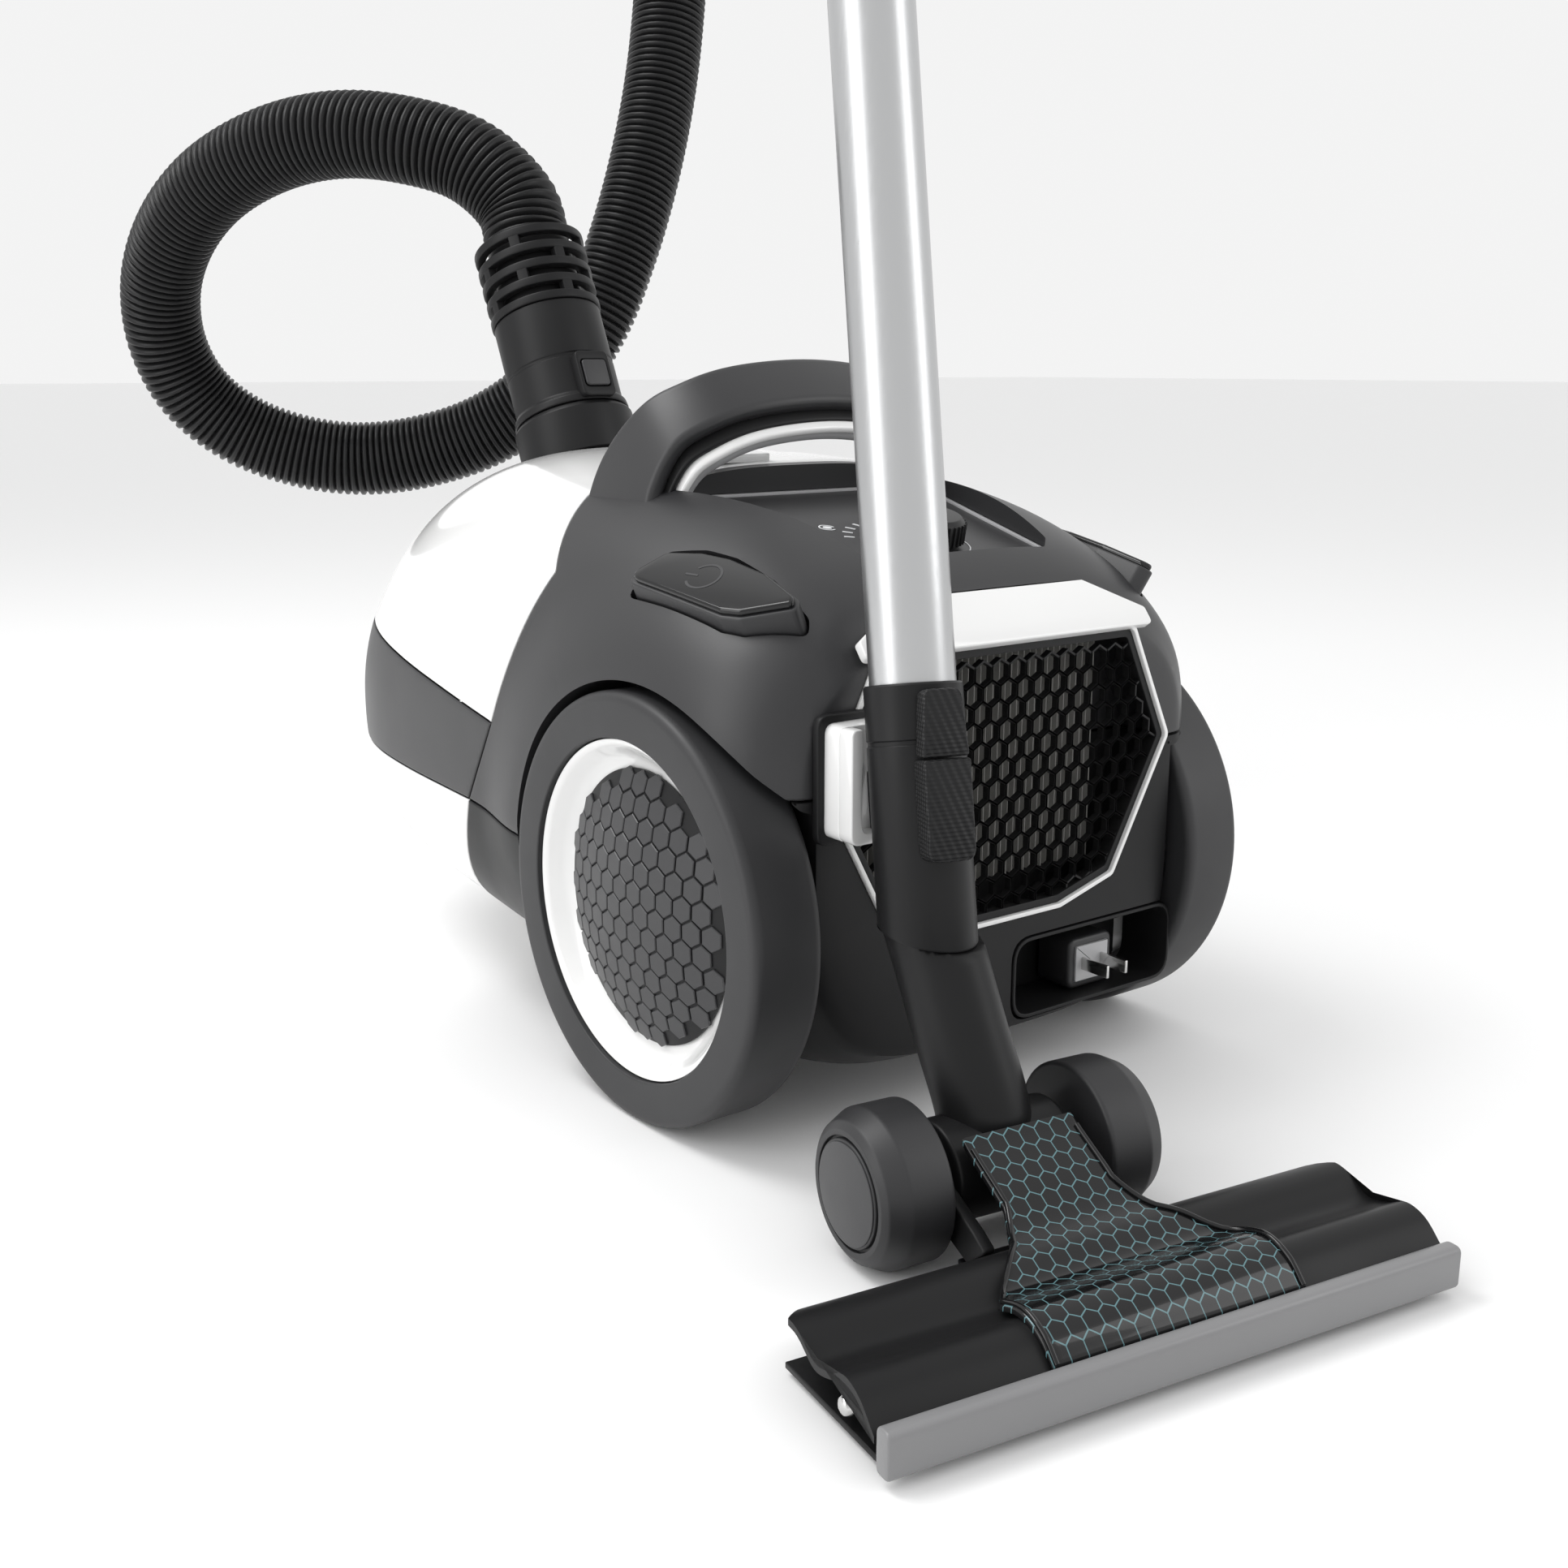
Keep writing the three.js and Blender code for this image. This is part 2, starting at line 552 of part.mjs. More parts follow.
// ---- wand ----------------------------------------------------------------------------------
// Plane of the slanted joint between the lower cuff and the elbow, its Z along the turning axis
function swivelPlane() {
  const tilt = new THREE.Matrix4().makeRotationX(0.32).setPosition(0, 0, -94);
  return along(WAND_FOOT, WAND_DIR).matrix.clone().multiply(tilt);
}

function addWand(root) {
  const wand = along(WAND_FOOT, WAND_DIR);
  root.add(wand);
  const bore = solid(rod(TUBE_R + GAP, -70, 40, 24));
  const duct = solid(rod(15, -120, 0, 24));
  const toCuff = wand.matrix.clone().invert().multiply(swivelPlane());
  const bevel = solid(box([-60, -60, -60], [60, 60, 0]).applyMatrix4(toCuff));
  let cuff = solid(turned([[0, -110], [20, -110], [20, 6], [0, 6]], 24)).subtract(bore).subtract(duct);
  cuff = cuff.add(solid(box([-5, 18.5, -52], [5, 27, -28]))).subtract(bevel);
  const block = solid(box([18, -10, -64], [29, 10, -24]).rotateZ(LATCH_TURN));
  part('wand_cuff', cuff.add(block.subtract(bore)), 'black', wand);

  const latch = new THREE.Group();
  latch.rotation.z = LATCH_TURN;
  wand.add(latch);
  const clear = solid(rod(20 + GAP, -100, 40, 24));
  const upper = prism(polygon([[-10, -23.6], [10, -23.6], [8, 3], [-8, 3]]), 18, 28, 'y').rotateZ(Math.PI / 2);
  part('latch_button', solid(upper).subtract(clear), 'black', latch);

  part('lower_tube', ring(TUBE_R, TUBE_R - 1.2, -69.5, CLAMP_AT, 24), 'aluminium', wand);
  const clamp = [[TUBE_R + GAP, CLAMP_AT - 42], [22, CLAMP_AT - 42], [25, CLAMP_AT - 30], [25, CLAMP_AT + 10],
    [21, CLAMP_AT + 18], [UPPER_TUBE_R + GAP, CLAMP_AT + 18], [UPPER_TUBE_R + GAP, CLAMP_AT + GAP],
    [TUBE_R + GAP, CLAMP_AT + GAP], [TUBE_R + GAP, CLAMP_AT - 42]];
  const window = solid(box([-7, -30, CLAMP_AT - 24], [7, -22, CLAMP_AT + 6]));
  part('telescope_clamp', solid(turned(clamp, 22)).subtract(window), 'black', wand);
  part('slider_button', box([-6.4, -28, CLAMP_AT - 16], [6.4, -22 - GAP, CLAMP_AT + 5.4]), 'lightGrey', wand);
  part('upper_tube', ring(UPPER_TUBE_R, UPPER_TUBE_R - 1.2, 90, GRIP_AT - GAP, 22), 'aluminium', wand);
  addGrip(wand);
}

const GRIP_PATH = [[0, 0, GRIP_AT], [0, 0, 515], [0, 6, 550], [0, 25, 588], [0, 52, 617], [0, 84, 640]];
const GRIP_END = [0, 84, 640];
const GRIP_END_DIR = new THREE.Vector3(0, 0.81, 0.586).normalize();

function addGrip(wand) {
  const grip = solid(sweep(circle(20, 12), GRIP_PATH, 9));
  const vent = solid(box([-7.5, -30, 520], [7.5, 30, 552]).translate(0, -26, 0));
  part('hand_grip', grip.subtract(vent), 'black', wand);
  part('suction_slider', solid(box([-7, -21, 522], [7, 3.6, 541])).subtract(solid(box([-30, 3.2, 400], [30, 60, 700]))),
    'lightGrey', wand);
  const axis = along(new THREE.Vector3(...GRIP_END), GRIP_END_DIR);
  wand.add(axis);
  const sleeve = [[0, GAP + 3], [22, GAP + 3], [30, 10], [30, 40], [0, 40]];
  part('grip_collar', turned(sleeve, 20), 'black', axis);
}

// ---- floor head ------------------------------------------------------------------------------
function addHead(root) {
  const head = new THREE.Group();
  head.position.copy(HEAD_AXLE);
  head.rotation.z = HEAD_YAW;
  head.updateMatrix();
  root.add(head);
  addElbow(head);
  for (const [side, name] of [[-1, 'left'], [1, 'right']]) {
    const mirror = new THREE.Group();
    mirror.rotation.z = side < 0 ? Math.PI : 0;
    head.add(mirror);
    const barrel = [[4.4, 37], [ROLLER_R, 37], [ROLLER_R, 56], [ROLLER_R - 4, 64], [ROLLER_R - 7, 66],
      [ROLLER_R - 9, 64.5], [ROLLER_R - 10, 66], [0, 66], [0, 62], [4.4, 62], [4.4, 37]];
    part(`roller_${name}`, turned(barrel, 22, 'x'), 'rubber', mirror);
  }
  part('roller_axle', rod(4, -61, 61, 16, 'x'), 'steel', head);
  addHeadShell(head);
}

function addElbow(head) {
  const path = [[0, 0, 0], [-1, 6, 22], [-4, 17, 48], [-7, 31, 80], [-9, 40, 98]];
  const tube = solid(sweep(circle(19, 14), path, 6));
  const barrel = solid(rod(21, -28, 28, 20, 'x'));
  const toElbow = head.matrix.clone().invert().multiply(swivelPlane());
  const bevel = solid(box([-60, -60, -2 * GAP], [60, 60, 60]).applyMatrix4(toElbow));
  const bore = solid(rod(4 + GAP, -60, 60, 16, 'x'));
  part('elbow', tube.add(barrel).subtract(bevel).subtract(bore), 'black', head);
}

// Wave section of the head's shell, as heights over the axle
const WAVE = [[-40, -22], [-50, -10], [-60, -4.5], [-68, -5], [-80, -11], [-90, -9], [-99, -5], [-108, -7], [-118, -16]];

function addHeadShell(head) {
  const under = WAVE.map(([y, z]) => [y, z - 2.6]).reverse();
  let shell = solid(prism(polygon([...WAVE, ...under]), -HEAD_HALF, HEAD_HALF, 'x'));
  for (const side of [-1, 1]) {
    const corner = polygon([[side * 100, -30], [side * 140, -30], [side * 140, -68]]);
    shell = shell.subtract(solid(prism(corner, -40, 20)));
  }
  const side = [[-18, 21.5], [-23, 18], [-40, 9], [-56, 0.5], [-68, -1.8], [-80, -6.5], [-98, -1.8], [-110, -5.5],
    [-117.5, -12.5], [-117.5, -15], [-109, -9.2], [-99, -4.7], [-80, -8.7], [-62, -4.2], [-48, -7], [-36, -11],
    [-30, -20], [-24, -20], [-21, 8], [-17.4, 18.5]];
  const profile = solid(prism(polygon(side), -60, 60, 'x'));
  const plan = polygon([[-26, 6], [-26, -46], [-34, -62], [-50, -78], [-56, -84], [-56, -118], [56, -118],
    [56, -84], [50, -78], [34, -62], [26, -46], [26, 6]]);
  const overShell = solid(prism(polygon([...WAVE.map(([y, z]) => [y, z + GAP]), [-118, -60], [-39.6, -60]]), -70, 70, 'x'));
  const barrelRoom = solid(rod(22, -29, 29, 28, 'x'));
  let cover = profile.intersect(solid(prism(plan, -40, 60))).subtract(barrelRoom);
  cover = cover.subtract(overShell);
  part('head_cover', cover, 'gloss', head);
  const yokeSide = (x) => solid(prism(polygon([[9, -6], [6, 9], [-6, 9], [-40, -8], [-48, -13], [-36, -24], [-6, -9]]),
    x - 2.7, x + 2.7, 'x'));
  let neck = yokeSide(-32.4).add(yokeSide(32.4)).subtract(solid(rod(4 + GAP, -60, 60, 16, 'x')));
  neck = neck.subtract(solid(prism(polygon(side), -27, 27, 'x')));
  const bridge = solid(box([-35, -39, -26], [35, -30, -20.8]));
  neck = neck.add(bridge).subtract(overShell);
  part('head_neck', neck, 'black', head);
  part('head_shell', shell, 'black', head);
  const bumper = roundedRect(8, 17, 3);
  part('bumper_strip', prism(bumper, -HEAD_HALF, HEAD_HALF, 'x').translate(0, -122.7, -19.5), 'lightGrey', head);
  let sole = solid(box([-121, -117, -29.5], [121, -52, -27]));
  sole = sole.subtract(solid(box([-108, -88, -40], [108, -68, -20])));
  part('sole_plate', sole, 'black', head);
  const pin = [[0, -124], [3, -122.5], [4, -120], [3, -117.5], [2, -116.5], [2, 116.5], [3, 117.5], [4, 120],
    [3, 122.5], [0, 124]];
  part('glide_axle', turned(pin, 14, 'x').translate(0, -94, -20), 'steel', head);
}

// ---- assembly ----------------------------------------------------------------------------------
const model = new THREE.Group();
const lidShell = addShell(model);
addDeck(model);
addGrille(model);
addParkDock(model);
addHandle(model);
addDial(model);
addPedals(model);
addWheel(model, -1, 'left');
addWheel(model, 1, 'right');
addCaster(model);
addInside(model);
addPlug(model);
addLid(model, lidShell);
addLatch(model);
addWand(model);
addHead(model);

model.updateMatrixWorld(true);
const middle = new THREE.Box3().setFromObject(model, true).getCenter(new THREE.Vector3());
addHose(model);
model.position.set(-middle.x, -middle.y, 0);

export default model;
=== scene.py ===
import math

import bmesh
import bpy
import numpy as np
from mathutils import Matrix, Vector


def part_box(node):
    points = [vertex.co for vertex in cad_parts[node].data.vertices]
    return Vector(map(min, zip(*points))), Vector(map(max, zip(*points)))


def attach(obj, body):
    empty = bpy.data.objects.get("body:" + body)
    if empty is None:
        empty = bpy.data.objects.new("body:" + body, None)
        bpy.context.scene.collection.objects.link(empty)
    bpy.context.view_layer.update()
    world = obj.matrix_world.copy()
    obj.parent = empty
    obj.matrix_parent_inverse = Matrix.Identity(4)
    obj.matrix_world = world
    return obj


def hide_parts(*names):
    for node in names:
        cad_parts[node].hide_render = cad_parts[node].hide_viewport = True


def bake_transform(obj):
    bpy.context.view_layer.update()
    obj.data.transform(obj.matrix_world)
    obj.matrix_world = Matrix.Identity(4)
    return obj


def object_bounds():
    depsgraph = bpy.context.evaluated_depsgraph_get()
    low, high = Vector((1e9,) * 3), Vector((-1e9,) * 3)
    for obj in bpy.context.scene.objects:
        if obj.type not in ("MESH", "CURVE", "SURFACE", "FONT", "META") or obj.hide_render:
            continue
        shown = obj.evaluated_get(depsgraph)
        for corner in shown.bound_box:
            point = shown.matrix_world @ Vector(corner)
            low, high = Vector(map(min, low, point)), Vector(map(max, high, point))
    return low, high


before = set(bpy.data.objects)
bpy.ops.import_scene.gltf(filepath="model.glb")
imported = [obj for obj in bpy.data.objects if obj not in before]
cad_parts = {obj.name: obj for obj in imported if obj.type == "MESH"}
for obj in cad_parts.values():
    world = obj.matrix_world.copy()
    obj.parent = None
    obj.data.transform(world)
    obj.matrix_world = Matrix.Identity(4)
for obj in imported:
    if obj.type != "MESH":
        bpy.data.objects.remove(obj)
cad_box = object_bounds()

# ---- Camera, floor and light --------------------------------------------------------
# A seamless pale sweep lit by three large soft boxes, with the camera low behind the
# left wheel. Places are in millimetres from the floor under the middle of the wheel axle.
axle_middle = (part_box("axle_left")[0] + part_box("axle_right")[1]) / 2
ORIGIN = np.array([axle_middle.x, axle_middle.y, 0.0])


def metres(points):
    return np.asarray(points, float) / 1000 + ORIGIN


def aim(obj, place, target):
    obj.location = Vector(metres(place))
    obj.rotation_euler = (Vector(metres(target)) - obj.location).to_track_quat("-Z", "Y").to_euler()


def in_scene(name, data):
    obj = bpy.data.objects.new(name, data)
    bpy.context.scene.collection.objects.link(obj)
    return obj


camera = in_scene("camera", bpy.data.cameras.new("camera"))
camera.data.sensor_width = 36
camera.data.lens = 40.23
aim(camera, (-550.78, -643.82, 340.68), (-104.87, -57.0, 163.33))
bpy.context.scene.camera = camera

world = bpy.data.worlds.new("studio")
world.use_nodes = True
world.node_tree.nodes["Background"].inputs["Color"].default_value = (1, 1, 1, 1)
world.node_tree.nodes["Background"].inputs["Strength"].default_value = 0.9
bpy.context.scene.world = world
bpy.context.scene.view_settings.view_transform = "Standard"


def soft_box(name, place, target, width, height, watts):
    light = bpy.data.lights.new(name, "AREA")
    light.shape = "RECTANGLE"
    light.size = width
    light.size_y = height
    light.energy = watts
    aim(in_scene(name, light), place, target)


soft_box("overhead", (-800, 600, 1800), (-80, 20, 200), 0.9, 0.9, 17)
soft_box("left_side", (-1900, 250, 900), (0, 100, 150), 1.0, 1.8, 12)
soft_box("rear_right", (1300, -1500, 1100), (0, 0, 150), 0.8, 1.6, 8)


# ---- Shader tools and the floor -----------------------------------------------------
# The floor is matt white board. Shader sums are written as plain expressions on the
# sockets' values.
class Value:
    def __init__(self, tree, socket):
        self.tree = tree
        self.socket = socket

    def math(self, operation, *others):
        node = self.tree.nodes.new("ShaderNodeMath")
        node.operation = operation
        for slot, item in zip(node.inputs, (self, *others)):
            if isinstance(item, Value):
                self.tree.links.new(item.socket, slot)
            else:
                slot.default_value = item
        return Value(self.tree, node.outputs[0])

    def const(self, number):
        node = self.tree.nodes.new("ShaderNodeValue")
        node.outputs[0].default_value = number
        return Value(self.tree, node.outputs[0])

    def __add__(self, other):
        return self.math("ADD", other)

    def __mul__(self, other):
        return self.math("MULTIPLY", other)

    def __sub__(self, other):
        return self.math("SUBTRACT", other)

    def __rsub__(self, other):
        return self.const(other).math("SUBTRACT", self)

    def __abs__(self):
        return self.math("ABSOLUTE")

    def __mod__(self, other):
        return self.math("FLOORED_MODULO", other)

    def __gt__(self, other):
        return self.math("GREATER_THAN", other)

    __radd__ = __add__
    __rmul__ = __mul__


class Finish:
    """A Principled material whose varying parts are built node by node."""

    def __init__(self, name, color, roughness, metallic=0.0, coat=0.0):
        self.material = bpy.data.materials.new(name)
        self.material.use_nodes = True
        self.tree = self.material.node_tree
        self.shader = self.tree.nodes["Principled BSDF"]
        self.color = (*color, 1.0)
        for socket, value in (("Base Color", self.color), ("Roughness", roughness), ("Metallic", metallic),
                              ("Coat Weight", coat), ("Coat Roughness", 0.04)):
            self.shader.inputs[socket].default_value = value
        self.shader.inputs["Specular IOR Level"].default_value = 0.5 if max(color) > 0.02 else 0.22
        self.heights = None

    def node(self, kind, settings=None, **values):
        node = self.tree.nodes.new(kind)
        for key, value in (settings or {}).items():
            setattr(node, key, value)
        for key, value in values.items():
            slot = node.inputs[key.replace("_", " ")]
            if isinstance(value, Value):
                self.tree.links.new(value.socket, slot)
            else:
                slot.default_value = value
        return node

    def out(self, node, socket=0):
        return Value(self.tree, node.outputs[socket])

    def place(self, scale=(1, 1, 1), turn=(0, 0, 0)):
        where = self.out(self.node("ShaderNodeTexCoord"), "Object")
        return self.out(self.node("ShaderNodeMapping", Vector=where, Scale=scale, Rotation=turn))

    def axes(self, where):
        node = self.node("ShaderNodeSeparateXYZ", Vector=where)
        return [self.out(node, i) for i in range(3)]

    def noise(self, size_mm, detail=3.0, where=None):
        settings = {"Vector": where or self.place(), "Scale": 1000 / size_mm, "Detail": detail}
        return self.out(self.node("ShaderNodeTexNoise", **settings))

    def vary(self, socket, value):
        self.tree.links.new(value.socket, self.shader.inputs[socket])

    def tint(self, mask, color):
        node = self.node("ShaderNodeMix", {"data_type": "RGBA"})
        self.tree.links.new(mask.socket, node.inputs[0])
        before = self.shader.inputs["Base Color"].links
        if before:
            self.tree.links.new(before[0].from_socket, node.inputs[6])
        else:
            node.inputs[6].default_value = self.color
        node.inputs[7].default_value = (*color, 1.0)
        self.tree.links.new(node.outputs[2], self.shader.inputs["Base Color"])

    def bump(self, height, depth_mm, strength=1.0):
        node = self.node("ShaderNodeBump", Strength=strength, Distance=depth_mm / 1000, Height=height)
        if self.heights:
            self.tree.links.new(self.heights, node.inputs["Normal"])
        self.heights = node.outputs["Normal"]
        self.tree.links.new(self.heights, self.shader.inputs["Normal"])


def moulded(name, color, roughness, cloud, grain=None, coat=0.0):
    """A material with cloudy roughness, given as size, detail, swing and least value, and on most
    a fine grain, given as size, detail, depth and strength."""
    finish = Finish(name, color, roughness, coat=coat)
    size, detail, swing, least = cloud
    finish.vary("Roughness", finish.noise(size, detail) * swing + least)
    if grain:
        size, detail, depth, strength = grain
        finish.bump(finish.noise(size, detail), depth, strength)
    return finish.material


def plain_floor():
    finish = Finish("floor_board", (0.9, 0.9, 0.9), 0.55)
    finish.shader.inputs["Specular IOR Level"].default_value = 0.15
    return finish.material


bpy.ops.mesh.primitive_plane_add(size=60, location=(0, 0, cad_box[0][2] - 0.0002))
floor = bpy.context.object
floor.name = "floor"
floor.data.materials.append(plain_floor())


# ---- Hose ---------------------------------------------------------------------------
# Ribbed black plastic, 52 mm across, from the inlet collar round a loose loop to the
# hand grip. Its line is the same as the frame's, made as three lengths; each length is
# listed with the bodies at its two ends, but all three stay fixed in the scene.
HOSE_R = 26
RIB_PITCH = 4.9
HOSE_ROUTE = [
    (0, 339.1, 408.85), (0, 350.5, 433.4), (-18, 374, 460), (-48, 407, 474), (-76, 445, 478),
    (-103, 487, 470), (-126, 530, 450), (-139, 566, 421), (-142, 591, 388), (-135, 605, 352),
    (-118, 608, 320), (-90, 601, 295), (-54, 586, 279), (-16, 566, 273), (22, 541, 278),
    (60, 512, 294), (94, 484, 324), (121, 467, 366), (145, 462, 420), (169, 466, 480),
    (190, 476, 540), (205, 486, 600), (214, 492, 660), (213, 488, 720), (203, 472, 780),
    (182, 442, 836), (150, 398, 880), (108, 344, 905), (64, 286, 908), (22, 232, 892),
    (-14, 192, 868), (-42.6, 157.8, 850.8), (-44.09, 121.6, 834.56)]
HOSE_CUTS = (0, 0.55, 0.74, 1)


def smooth_line(points, per_span=24):
    """A centripetal Catmull-Rom line through the points, sampled evenly in its own parameter."""
    p = np.asarray(points, float)
    p = np.vstack([2 * p[0] - p[1], p, 2 * p[-1] - p[-2]])
    rows = []
    for a, b, c, d in zip(p, p[1:], p[2:], p[3:]):
        t1, t2, t3 = np.cumsum([np.linalg.norm(v) ** 0.5 for v in (b - a, c - b, d - c)])
        for t in np.linspace(t1, t2, per_span, endpoint=False):
            ab = a + (b - a) * t / t1
            bc = b + (c - b) * (t - t1) / (t2 - t1)
            cd = c + (d - c) * (t - t2) / (t3 - t2)
            abc = ab + (bc - ab) * t / t2
            bcd = bc + (cd - bc) * (t - t1) / (t3 - t1)
            rows.append(abc + (bcd - abc) * (t - t1) / (t2 - t1))
    rows.append(p[-2])
    return np.array(rows)


def even_points(line, spots):
    """Points of a line at these distances from its start."""
    run = np.concatenate([[0], np.cumsum(np.linalg.norm(np.diff(line, axis=0), axis=1))])
    return np.stack([np.interp(spots, run, line[:, k]) for k in range(3)], axis=1)


def carried_frames(line):
    """Two directions across a line at each of its points, turning as little as they can."""
    tangents = np.gradient(line, axis=0)
    tangents /= np.linalg.norm(tangents, axis=1)[:, None]
    side = np.cross(tangents[0], (0, 0, 1.0))
    if np.linalg.norm(side) < 0.05:
        side = np.array([1.0, 0, 0])
    sides = []
    for tangent in tangents:
        side = side - tangent * (side @ tangent)
        side = side / np.linalg.norm(side)
        sides.append(side)
    sides = np.array(sides)
    return sides, np.cross(tangents, sides)


def round_rings(line, radii, sides):
    """Circles of these radii across a line."""
    across, over = carried_frames(line)
    turn = np.linspace(0, 2 * np.pi, sides, endpoint=False)
    circles = across[:, None] * np.cos(turn)[None, :, None] + over[:, None] * np.sin(turn)[None, :, None]
    return line[:, None] + circles * np.broadcast_to(radii, len(line))[:, None, None]


def skin(rings, cap=True, closed=False):
    """Vertices and faces over rings of equal point counts, with a fan over each end."""
    rings = np.asarray(rings, float)
    count, sides = rings.shape[:2]
    vertices = rings.reshape(-1, 3)
    faces = []
    for r in range(count if closed else count - 1):
        low, high = r * sides, ((r + 1) % count) * sides
        faces += [(low + i, low + (i + 1) % sides, high + (i + 1) % sides, high + i) for i in range(sides)]
    if cap and not closed:
        vertices = np.vstack([vertices, rings[0].mean(axis=0), rings[-1].mean(axis=0)])
        last, first = len(vertices) - 1, len(vertices) - 2
        top = (count - 1) * sides
        faces += [(first, (i + 1) % sides, i) for i in range(sides)]
        faces += [(last, top + i, top + (i + 1) % sides) for i in range(sides)]
    return vertices, faces


def joined(*shapes):
    vertices, faces, start = [], [], 0
    for v, f in shapes:
        vertices.append(np.asarray(v, float))
        faces += [tuple(i + start for i in face) for face in f]
        start += len(v)
    return np.vstack(vertices), faces


def piece(name, shape, finish, body, *nodes, bevel=0.0, crease=38, weld=True):
    """A mesh piece from millimetres about the axle, riding on a body and standing for CAD nodes."""
    vertices, faces = shape
    mesh = bpy.data.meshes.new(name)
    mesh.from_pydata(metres(vertices).tolist(), [], faces)
    build = bmesh.new()
    build.from_mesh(mesh)
    if weld:
        bmesh.ops.remove_doubles(build, verts=build.verts, dist=1e-6)
    bmesh.ops.dissolve_degenerate(build, edges=build.edges, dist=1e-7)
    bmesh.ops.recalc_face_normals(build, faces=build.faces)
    if bevel:
        edges = [e for e in build.edges if len(e.link_faces) == 2 and e.calc_face_angle(0) > 0.6]
        bmesh.ops.bevel(build, geom=edges, offset=bevel / 1000, segments=3, affect="EDGES", profile=0.5,
                        clamp_overlap=True)
    build.to_mesh(mesh)
    build.free()
    mesh.shade_smooth()
    mesh.set_sharp_from_angle(angle=math.radians(crease))
    mesh.materials.append(finish)
    obj = in_scene(name, mesh)
    if body:
        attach(obj, body)
    if nodes:
        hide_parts(*nodes)
    return obj


HOSE_PLASTIC = moulded("ribbed_hose_plastic", (0.012, 0.012, 0.0125), 0.36, (30, 3, 0.16, 0.28),
                       (0.8, 2, 0.03, 0.5))
hose_line = smooth_line(HOSE_ROUTE)
hose_length = np.linalg.norm(np.diff(hose_line, axis=0), axis=1).sum()
RIB = [(0.0, 22.9), (0.16, 24.4), (0.32, 25.8), (0.5, HOSE_R), (0.68, 25.8), (0.84, 24.4)]


def ribbed_tube(start, end):
    count = round((end - start) / RIB_PITCH)
    pitch = (end - start) / count
    spots = [start + (i + part) * pitch for i in range(count) for part, _ in RIB] + [end]
    radii = np.array([r for _ in range(count) for _, r in RIB] + [RIB[0][1]])
    line = even_points(hose_line, spots)
    return skin(round_rings(line, radii, 28)), line


hose_bodies = {"hose_loop": ("lid", "chassis"), "hose_riser": ("chassis", "wand"),
               "hose_arc": ("wand", "upper_wand")}
for (name, (near, far)), start, end in zip(hose_bodies.items(), HOSE_CUTS, HOSE_CUTS[1:]):
    start = start * hose_length + (0.3 if start else 0)
    shape, line = ribbed_tube(start, end * hose_length)
    tube = piece(f"{name}_tube", shape, HOSE_PLASTIC, None, name, weld=False, crease=80)
    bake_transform(tube)


# ---- Canister mouldings -------------------------------------------------------------
# Five injection-moulded shells make one smooth body: grained dark grey housing and nose
# band, polished white lid and chin, and a black tub. The body is lofted once, hollowed
# for wheels, deck, pedals, grille and plug, and split along its seams.
STATIONS = np.array([
    (-86, 114, 226, 34, 150, 3.4, 4.0), (-72, 130, 246, 28, 150, 3.2, 4.0),
    (-45, 141, 264, 26, 150, 3.0, 4.0), (0, 145, 280, 26, 150, 3.0, 4.0),
    (60, 145, 290, 27, 148, 3.0, 4.0), (130, 143, 294, 31, 146, 2.9, 4.0),
    (200, 140, 295, 36, 144, 2.8, 3.8), (260, 136, 290, 40, 142, 2.6, 3.6),
    (310, 129, 276, 47, 140, 2.4, 3.2), (350, 117, 250, 60, 138, 2.3, 2.8),
    (380, 100, 218, 80, 136, 2.2, 2.5), (398, 76, 186, 100, 135, 2.1, 2.2),
    (408, 40, 158, 120, 135, 2.0, 2.0)], float)
WELL_R, WELL_FLOOR, WHEEL_Z = 104.5, 111, 100
FLARE = 5.5
GRILLE = [(-72, 98), (-36, 88), (36, 88), (72, 98), (108, 164), (80, 221), (-80, 221), (-108, 164)]
DECK_SLOPE = math.atan2(25, 127)
DECK_REAR = (-56, 252, 58)
DECK_FRONT = (71, 277, 82)
PEDAL = [(-20, 46), (-17, 20), (-13, -19), (-9, -29), (9, -47), (14, -42), (18, -17), (17, 8), (13, 25),
         (4, 43)]
SEAM_TOP = [(94, 243), (122, 284), (122, 330)]
BAND_TOP, BAND_LOW = (139, 163), (170, 117)
INLET = np.array([0, 285, 292.0])


def station(y):
    """Half width, top, bottom, mid height and squareness of the body at y, by cubic steps."""
    ys = STATIONS[:, 0]
    i = int(np.clip(np.searchsorted(ys, y) - 1, 0, len(ys) - 2))
    before, after = max(i - 1, 0), min(i + 2, len(ys) - 1)
    a, b = STATIONS[i, 1:], STATIONS[i + 1, 1:]
    span = ys[i + 1] - ys[i]
    t = (y - ys[i]) / span
    m0 = (b - STATIONS[before, 1:]) / (ys[i + 1] - ys[before]) * span
    m1 = (STATIONS[after, 1:] - a) / (ys[after] - ys[i]) * span
    return ((2 * t**3 - 3 * t**2 + 1) * a + (t**3 - 2 * t**2 + t) * m0
            + (3 * t**2 - 2 * t**3) * b + (t**3 - t**2) * m1)


def body_ring(y, count=176):
    half, top, bottom, middle, upper, lower = station(y)
    fine = np.linspace(0, 2 * np.pi, 1441)
    c, s = np.cos(fine), np.sin(fine)
    n = np.where(s > 0, upper, lower)
    x = half * np.sign(c) * np.abs(c) ** (2 / n)
    z = middle + np.where(s > 0, top - middle, middle - bottom) * np.sign(s) * np.abs(s) ** (2 / n)
    run = np.concatenate([[0], np.cumsum(np.hypot(np.diff(x), np.diff(z)))])
    spots = np.linspace(0, run[-1], count, endpoint=False)
    return np.stack([np.interp(spots, run, x), np.full(count, y), np.interp(spots, run, z)], axis=1)


